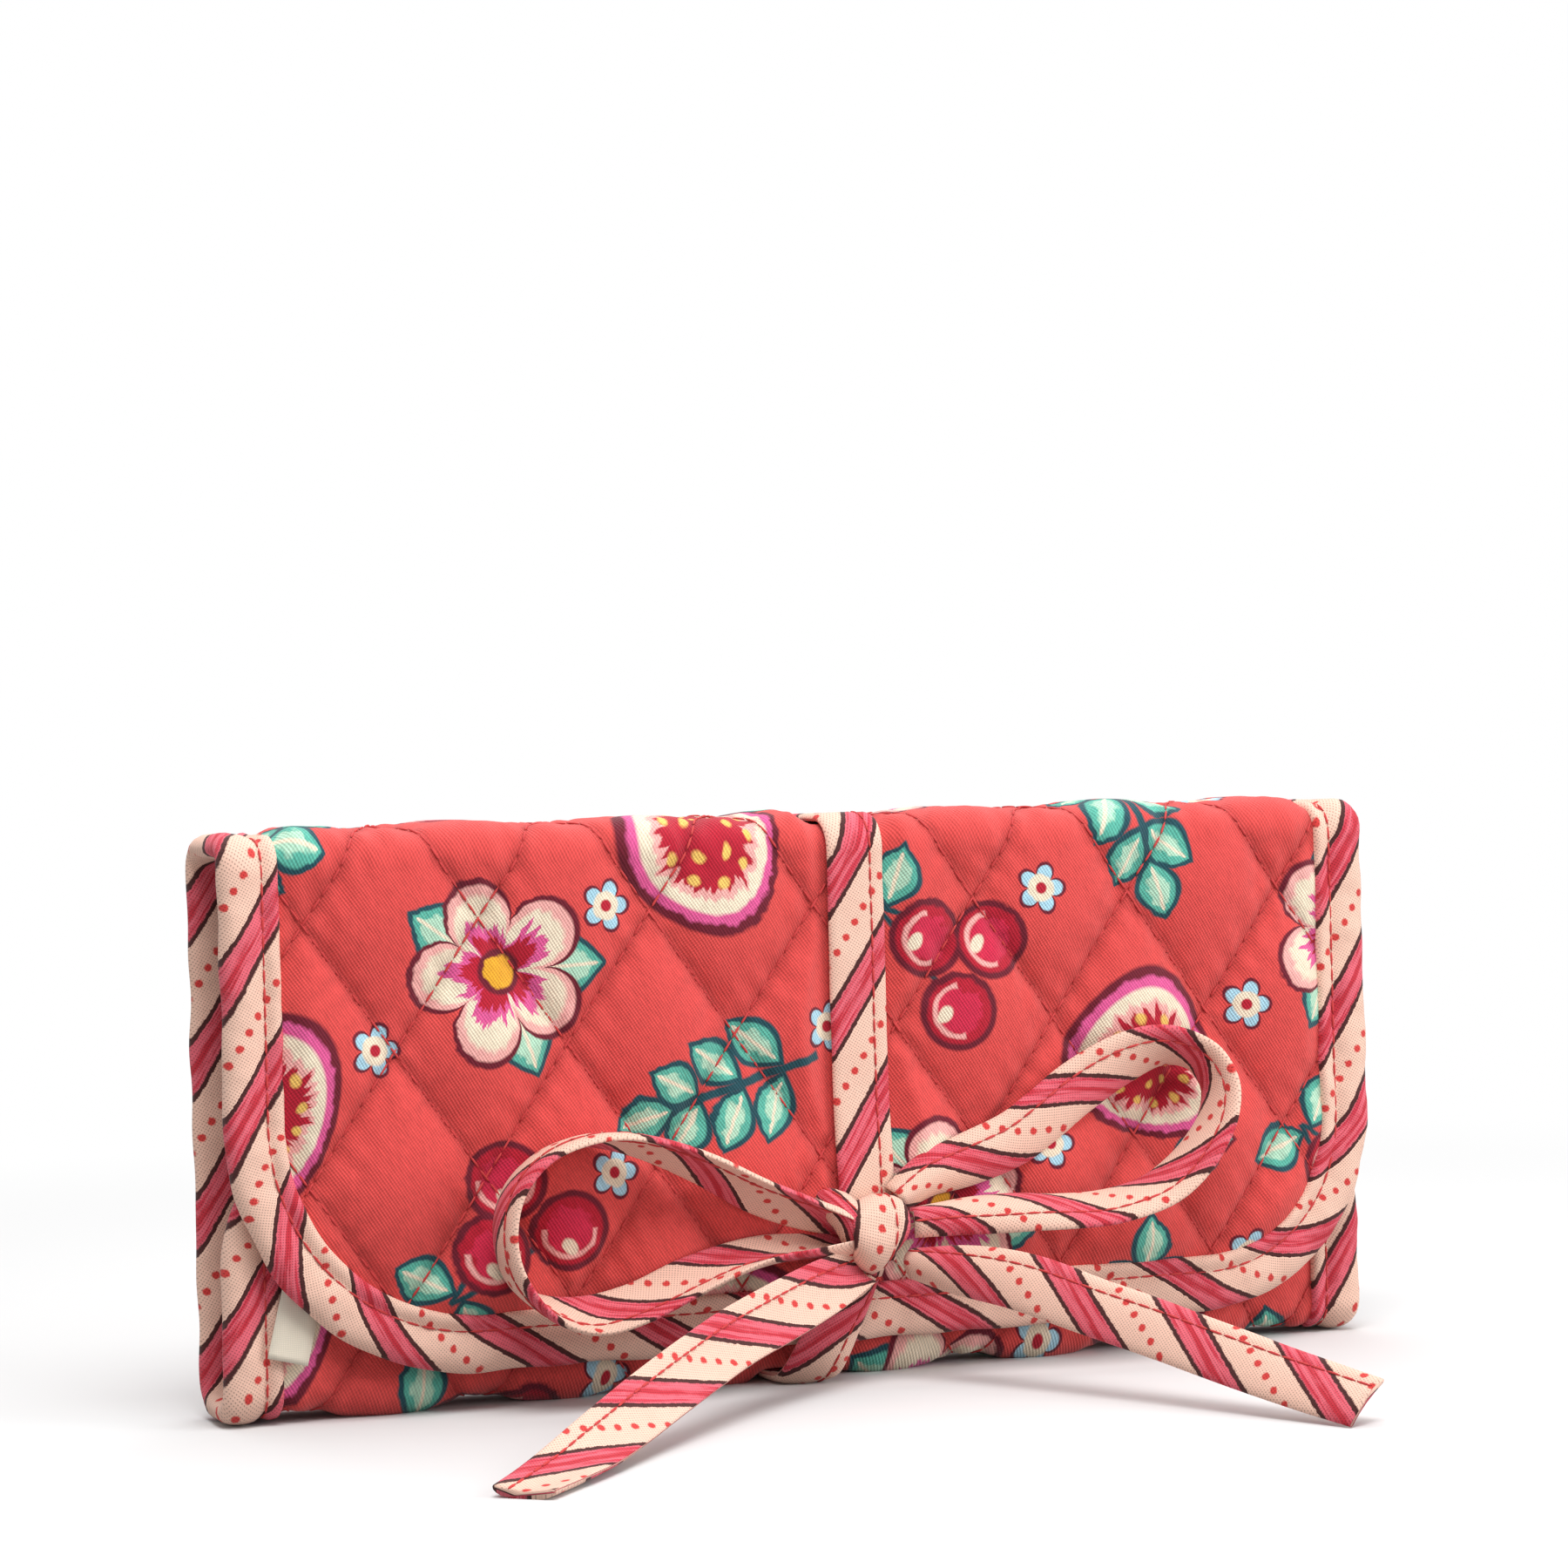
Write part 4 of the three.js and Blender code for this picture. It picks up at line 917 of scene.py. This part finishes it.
def make_ribbon(name, rows, drawn, lean, start_at, node):
    """A free ribbon. Where it is narrow it bends across itself, as gathered tape does; where its tape
    was drawn out lengthwise, so was the print."""
    middle, side, face, width = ribbon_frames(rows, 8)
    gone = gone_along(middle)

    def on_ribbon(v, h):
        share = 2 * v / RIBBON_WIDE - 1
        sag = np.sqrt(np.maximum(RIBBON_WIDE ** 2 - width ** 2, 0)) * 0.32 * (0.5 - share ** 2)
        out = h - 0.69 + sag + 0.1 * ripple(gone, v, 15, 6)
        return middle + side * (share * width / 2)[:, None] + face * out[:, None]

    points = np.stack([on_ribbon(v, h) for v, h in RIBBON], axis=1) / 1000
    fields = ribbon_fields(gone / drawn + start_at, lean)
    piece = make_piece(name, points, tube_faces(*points.shape[:2]), striped, tape=fields)
    seams = [(on_ribbon(TOPSTITCH, 1.24)[1:-1] / 1000, face[1:-1]),
             (on_ribbon(TOPSTITCH, -0.1)[1:-1] / 1000, -face[1:-1])]
    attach(piece, "flap")
    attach(sew(f"{name}_stitches", seams), "flap")
    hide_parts(node)
    return piece, middle / 1000, gone[-1] / 1000


LEFT_LOOP = [
    (1.2, -16.6, 27.6, 0.1, -0.9, 0.4, 6.5), (-6, -17.5, 29.6, 0.2, -0.85, 0.5, 8.5),
    (-15.7, -18.2, 33.2, 0.25, -0.85, 0.5, 9.6), (-26, -18.6, 38.6, 0.2, -0.9, 0.4, 10),
    (-37, -18.8, 43, 0.1, -0.95, 0.3, 10), (-46.5, -18.8, 44.2, 0, -1, 0.15, 10),
    (-54.5, -18.8, 42, 0, -1, 0.1, 10), (-60, -18.8, 36.5, 0, -1, 0, 10),
    (-61.6, -18.8, 29.3, 0, -1, 0, 10), (-59.6, -18.8, 22, 0, -1, 0, 10),
    (-54.5, -18.8, 17.2, 0, -0.95, -0.3, 10), (-47, -18.8, 15.2, 0, -0.85, -0.5, 10),
    (-38.5, -18.6, 16.6, 0.1, -0.85, -0.5, 10), (-28, -18.2, 20.4, 0.15, -0.88, -0.45, 9.6),
    (-16, -17.6, 23.4, 0.1, -0.95, -0.3, 9), (-6, -17, 23.6, 0, -1, -0.2, 8),
    (1.2, -16.6, 23.6, 0, -1, -0.1, 6.5),
]
RIGHT_LOOP = [
    (9.8, -15.6, 30.6, -0.45, 0.15, 0.88, 5.5), (16.3, -14.8, 34.2, -0.5, 0.05, 0.87, 7.5),
    (23.7, -14.2, 36.2, -0.45, 0, 0.89, 9.2), (33.1, -14, 39.4, -0.55, 0, 0.83, 9.8),
    (39.3, -14, 43.3, -0.6, 0, 0.8, 10), (45.4, -14, 47.4, -0.6, -0.05, 0.8, 10),
    (54.5, -14.6, 52, -0.45, -0.3, 0.84, 10), (62, -15.8, 53.6, -0.15, -0.7, 0.7, 10),
    (67.6, -17.6, 51.6, 0.15, -0.9, 0.4, 10), (69.6, -19.6, 47.2, 0.2, -0.97, 0.15, 10),
    (68.4, -21.2, 42, 0.2, -0.97, 0, 10), (65.1, -22, 37.2, 0.2, -0.96, -0.2, 10),
    (61, -22.2, 33.2, 0.2, -0.93, -0.3, 10), (55.8, -22.2, 30, 0.15, -0.92, -0.36, 10),
    (47, -22, 27.9, 0.1, -0.9, -0.42, 10), (38.5, -21.2, 27.7, 0, -0.88, -0.48, 9.6),
    (30.7, -20.4, 28.1, 0, -0.8, -0.6, 9), (21.1, -19.2, 28, 0, -0.72, -0.7, 7.6),
    (11.4, -18, 27.4, 0, -0.7, -0.7, 5.5),
]
LEFT_TAIL = [
    (2.2, -17.4, 19.8, -0.25, 0.3, 0.9, 6.5), (-5.4, -21, 17.8, -0.4, 0.3, 0.85, 9),
    (-17.3, -29, 15.2, -0.45, 0.3, 0.83, 10), (-30.3, -39, 12.7, -0.47, 0.32, 0.82, 10),
    (-40.3, -48, 10.4, -0.5, 0.34, 0.78, 10), (-50.2, -57, 7.9, -0.56, 0.38, 0.7, 10),
    (-59.5, -66, 5.5, -0.64, 0.42, 0.58, 10), (-68.7, -75, 3.2, -0.74, 0.45, 0.36, 10),
    (-77, -83, 1.6, -0.84, 0.44, 0.12, 10), (-84, -90, 0.85, -0.9, 0.42, 0, 10),
]
RIGHT_TAIL = [
    (10.8, -18.2, 20.4, 0.4, 0.1, 0.9, 5.5), (15.4, -27, 19.8, 0.45, 0.05, 0.88, 8.6),
    (21.6, -38, 18.4, 0.5, 0.05, 0.86, 10), (28.2, -50, 15.2, 0.55, 0.06, 0.82, 10),
    (34.4, -62, 12.2, 0.6, 0.08, 0.78, 10), (40, -74, 9.2, 0.64, 0.1, 0.75, 10),
    (45.4, -86, 6.4, 0.68, 0.12, 0.7, 10), (51, -98.5, 3.9, 0.72, 0.15, 0.62, 10),
]
for name, rows, drawn, lean, start_at, node, far_end in (
    ("bow_left_loop", LEFT_LOOP, 1, TIE_LEAN, 0, "tie_left_loop", "object"),
    ("bow_right_loop", RIGHT_LOOP, 1, TIE_LEAN, 6, "tie_right_loop", "object"),
    ("bow_left_tail", LEFT_TAIL, 1.25, 1.6, 3, "tie_left_tail", "bare"),
    ("bow_right_tail", RIGHT_TAIL, 1, TIE_LEAN, 11, "tie_right_tail", "bare"),
):
    piece, middle, length = make_ribbon(name, rows, drawn, lean, start_at, node)

KNOT_WRAP = [
    (5.2, -14, 29.8, 1, 0, 0.1, 8), (4.9, -17.8, 30.6, 1, 0, 0.1, 9.6), (4.6, -20.4, 28.8, 1, 0, 0.15, 10.2),
    (4.4, -21.2, 25.8, 1, 0, 0.2, 10.2), (4.2, -20.6, 23.2, 1, 0, 0.2, 9), (3.9, -18.6, 21, 1, 0, 0.15, 7),
    (4.4, -14.8, 20.4, 1, 0, 0.1, 5),
]
KNOT_UNDER = [
    (-2.8, -14.0, 31.4, 0.6, 0, 0.8, 5.2), (-2.2, -17.0, 30.6, 0.6, 0, 0.8, 5.8),
    (-0.4, -18.6, 28.6, 0.62, 0, 0.78, 6.0), (2.2, -18.4, 24.4, 0.65, 0, 0.75, 6.0),
    (4.6, -16.4, 20.4, 0.7, 0, 0.7, 5.2), (5.6, -13.8, 19.2, 0.7, 0, 0.7, 4.6),
]
BELOW_KNOT = [
    (4.2, -15.2, 18.4, 0.83, 0, -0.55, 5.5), (1.8, -14.6, 14.4, 0.83, 0, -0.5, 7.5),
    (-1.2, -14.6, 10.2, 0.85, 0, -0.45, 9), (-3.6, -14.2, 6.0, 0.9, 0, -0.35, 9.6),
    (-4.9, -12.2, 2.6, 0.95, 0, -0.2, 10), (-5.6, -9.4, 1, 1, 0, -0.05, 10),
    (-5.9, -6, 0.78, 1, 0, 0, 10), (-6, -1.5, 0.75, 1, 0, 0, 10),
]
make_ribbon("bow_knot", KNOT_WRAP, 1, 5, 14.7, "tie_knot")
make_ribbon("bow_knot_under", KNOT_UNDER, 1, 3, 31, "tie_knot")
make_ribbon("tie_below_knot", BELOW_KNOT, 1, TIE_LEAN, 12, "tie_lower_strap")


# Care label
# A bare slip of cream satin, sewn in at the side between the flap and the inner panel.
tree, given, result = node_group(
    "plain_weave", {"Cloth": "Vector", "Tint": "Color"}, {"Color": "Color", "Height": "Float"})
x, s, pitch = parts_of(tree, given.outputs["Cloth"])
weave = abs((x / pitch).wave(2.0) * (s / pitch).wave(2.0))
cloudy = noise(tree, given.outputs["Cloth"], 0.15, 3)
shade = weave * 0.2 + 0.88 + cloudy * 0.12
feed(tree, result, {"Color": shaded(tree, given.outputs["Tint"], shade), "Height": weave.socket})
plain_weave = tree
satin = cloth_material("label_satin", plain_weave, "cloth", 0.00003, 0.0, (0.74, 0.67, 0.55), 0.42)

LABEL = 22
LABEL_X, LABEL_Y, LABEL_Z = -95.1, -7.3, 10.55
LABEL_UP, LABEL_LEAN = 0.968, 0.25
climb = np.linspace(0, LABEL, 23)
label_ring = [
    (-3.4, 0), (-3.35, 0.14), (-1.5, 0.17), (1.5, 0.17), (3.35, 0.14), (3.4, 0), (3.3, -0.12), (-3.3, -0.12)]
label_points = []
for aside, thick in label_ring:
    curl = 0.7 * (1 - climb / LABEL) ** 2 + 0.06 * aside * np.cos(climb / 7)
    label_x = LABEL_X + LABEL_UP * aside + LABEL_LEAN * climb
    label_z = LABEL_Z - LABEL_LEAN * aside + LABEL_UP * climb
    label_points.append(vectors(label_x, LABEL_Y - curl - thick, label_z))
label_points = np.stack(label_points, axis=1)
faces = grid_faces(*label_points.shape[:2], ring=True, flip=True) + [tuple(range(len(label_ring)))]
label_cloth = vectors(label_points[..., 0], label_points[..., 2], 0.3)
piece = make_piece("care_slip", label_points / 1000, faces, satin, cloth=label_cloth)
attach(piece, "flap")
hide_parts("care_label")


# Lining
# Plain peach cotton on the inside of every panel, caught down by the quilting.
def lining_height(x, s):
    return -0.6 - 0.55 * sewn(x, s) ** 0.6 - 0.06 * ripple(x, s, 12, 15)


cotton = cloth_material("lining_cotton", plain_weave, "cloth", 0.00006, 0.05, (0.78, 0.50, 0.37))
for stretch, (s0, s1, *_) in STRETCHES.items():
    x, s = cloth_grid(s0, s1, 1.6, 1.4)
    piece = make_piece(
        f"lining_{stretch}", on_cloth(x, s, lining_height(x, s)), grid_faces(*x.shape, flip=True), cotton,
        cloth=vectors(x, s, 0.4))
    bend(piece, stretch)
    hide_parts(*(f"{layer}_lining" for layer in LAYER_NODES[stretch]))
    bend(sew(f"lining_quilting_{stretch}", quilting_rows(s0, s1, lining_height, -1), 0.4), stretch)


# Zipped pockets
# A clear vinyl window on the flap and on the back panel, edged with the striped tape, with a zip on
# woven tapes along it. The teeth, stops, sliders and pulls are hard and keep their own shape.
POCKETS = {"flap": (-8.45, 1, 52.5, "flap"), "back": (8.45, -1, 8.5, "back_panel")}
POCKET_HIGH = 35
POCKET_WIDE = 95
EDGING = [
    (0.1, 0.15), (0.0, 0.9), (0.3, 1.6), (1.0, 2.05), (2.5, 2.2), (4.0, 2.05), (4.7, 1.6), (5.0, 0.95),
    (4.8, 0.3),
]


def edging_points(low, d, h, face, inward):
    """One line of the edging round a pocket, a distance in from its outside and a height off the lining."""
    corners = np.array([(-1, 0), (1, 0), (1, 1), (-1, 1), (-1, 0)], float)
    sides = enumerate((96, 20, 96, 20))
    spots = np.concatenate([np.linspace(k, k + 1, n + 1)[:-1] for k, n in sides] + [[4]])
    x = np.interp(spots, range(5), corners[:, 0] * (POCKET_WIDE - d))
    z = np.interp(spots, range(5), low + d + corners[:, 1] * (POCKET_HIGH - 2 * d))
    waver = 0.08 * ripple(x, z, 9, 11) * min(1, h)
    return vectors(x, face + inward * (h + waver), z)


def soft_slab(name, node, material, body, pitch, waver):
    """A strip of woven stuff with rounded edges, in the place of a flat solid."""
    low, high = (np.array(corner) * 1000 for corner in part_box(node))
    middle, half = (low + high) / 2, (high - low) / 2
    x = np.linspace(low[0], high[0], int(half[0] * 2 / 1.5) + 2)
    ring = [
        (1, 0.0), (1, 0.6), (0.97, 1.0), (0.4, 1.0), (-0.4, 1.0), (-0.97, 1.0), (-1, 0.6), (-1, 0.0),
        (-1, -0.6), (-0.97, -1.0), (-0.4, -1.0), (0.4, -1.0), (0.97, -1.0), (1, -0.6),
    ]
    rows = []
    for across, thick in ring:
        y = middle[1] + thick * half[1] + waver * ripple(x, across * 5, 14, 12)
        rows.append(vectors(x, y, middle[2] + across * half[2]))
    points = np.stack(rows, axis=1)
    field = vectors(points[..., 0], points[..., 2], pitch)
    piece = make_piece(name, points / 1000, tube_faces(len(x), len(ring)), material, cloth=field)
    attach(piece, body)
    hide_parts(node)
    return piece


zip_weave = cloth_material("zip_tape_weave", plain_weave, "cloth", 0.00008, 0.05, (0.46, 0.030, 0.040))
tree, given, result = node_group("vinyl_haze", {"Place": "Vector"}, {"Alpha": "Float", "Height": "Float"})
haze = noise(tree, given.outputs["Place"], 60, 3)
feed(tree, result, {"Alpha": (haze * 0.12 + 0.2).socket, "Height": haze.socket})
vinyl = material_from(
    "clear_vinyl", tree, {"Base Color": (0.86, 0.90, 0.91, 1), "Roughness": 0.12}, relief=(0.5, 0.0006))

for pocket, (face, inward, low, body) in POCKETS.items():
    points = np.stack([edging_points(low, d, h, face, inward) for d, h in EDGING], axis=1)
    gone = gone_along(points[:, 0])
    rows = [vectors(gone, d, BINDING_LEAN) for d, _ in EDGING]
    piece = make_piece(
        f"{pocket}_pocket_edge", points / 1000, grid_faces(*points.shape[:2], flip=inward > 0), striped,
        tape=np.stack(rows, axis=1))
    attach(piece, body)
    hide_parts(f"{pocket}_pocket_edging")
    seam = edging_points(low, 4.1, 2.2, face, inward) / 1000
    way = np.tile((0.0, float(inward), 0.0), (len(seam), 1))
    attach(sew(f"{pocket}_pocket_stitches", [(seam, way)]), body)

    piece = soft_slab(f"{pocket}_vinyl", f"{pocket}_pocket_window", vinyl, body, 0.4, 0.12)
    for place in ("upper", "lower"):
        piece = soft_slab(
            f"{pocket}_{place}_zip_tape", f"{pocket}_zip_{place}_tape", zip_weave, body, 0.35, 0.05)

tree, given, result = node_group(
    "rubbed", {"Place": "Vector", "Tint": "Color"}, {"Color": "Color", "Roughness": "Float"})
rub = noise(tree, given.outputs["Place"], 420, 3)
feed(tree, result, {
    "Color": shaded(tree, given.outputs["Tint"], rub * 0.3 + 1.0), "Roughness": (rub * 0.25 + 0.34).socket})
plated = material_from("gold_plating", tree, {"Metallic": 1.0}, tint=(0.86, 0.66, 0.38))
moulded = material_from("moulded_teeth", tree, {"Metallic": 0.0}, tint=(0.50, 0.045, 0.055))
for node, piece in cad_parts.items():
    if "teeth" in node:
        piece.data.materials[0] = moulded
    elif "stop" in node or "slider" in node or "pull" in node or node in ("snap_cap", "snap_socket"):
        piece.data.materials[0] = plated


# Ring bar
# A stuffed roll of coral cotton, sewn to the back panel at its left end and snapped down at its right.
bar_cotton = cloth_material("ring_bar_cotton", plain_weave, "cloth", 0.00008, 0.1, (0.60, 0.050, 0.046))
BAR_RADIUS, TIP = 5, 0.05
low, high = (np.array(corner) * 1000 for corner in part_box("ring_bar"))
bar_y, bar_z = (low[1:] + high[1:]) / 2
share = np.concatenate([
    np.linspace(0, TIP, 9), np.linspace(TIP, 1 - TIP, 72)[1:-1], np.linspace(1 - TIP, 1, 9)])
turn = np.linspace(0, 2 * math.pi, 41)[:-1]
from_tip = np.minimum(share, 1 - share)
radius = BAR_RADIUS * 0.98 * np.sqrt(1 - (1 - np.clip(from_tip / TIP, 0, 1)) ** 2)
gather = 0.25 * np.abs(np.cos(11 * turn)) * (1 - smooth(from_tip, 0.02, 0.14))[:, None]
uneven = 1 + 0.02 * ripple(share[:, None] * 90, turn * 5, 20, 3)
radii = np.maximum(radius[:, None] * uneven - gather, 0)
along = low[0] + share * (high[0] - low[0])
bar_points = vectors(along[:, None], bar_y + radii * np.cos(turn), bar_z + radii * np.sin(turn))
piece = make_piece(
    "stuffed_ring_bar", bar_points / 1000, grid_faces(*radii.shape, ring=True, flip=True), bar_cotton,
    cloth=vectors(bar_points[..., 0], turn * BAR_RADIUS, 0.4))
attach(piece, "ring_bar")
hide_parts("ring_bar")
for name, node, body in (
    ("ring_bar_sewn_end", "ring_bar_anchor", "back_panel"), ("ring_bar_tab", "ring_bar_snap_tab", "ring_bar"),
):
    soft_slab(name, node, bar_cotton, body, 0.4, 0.05)
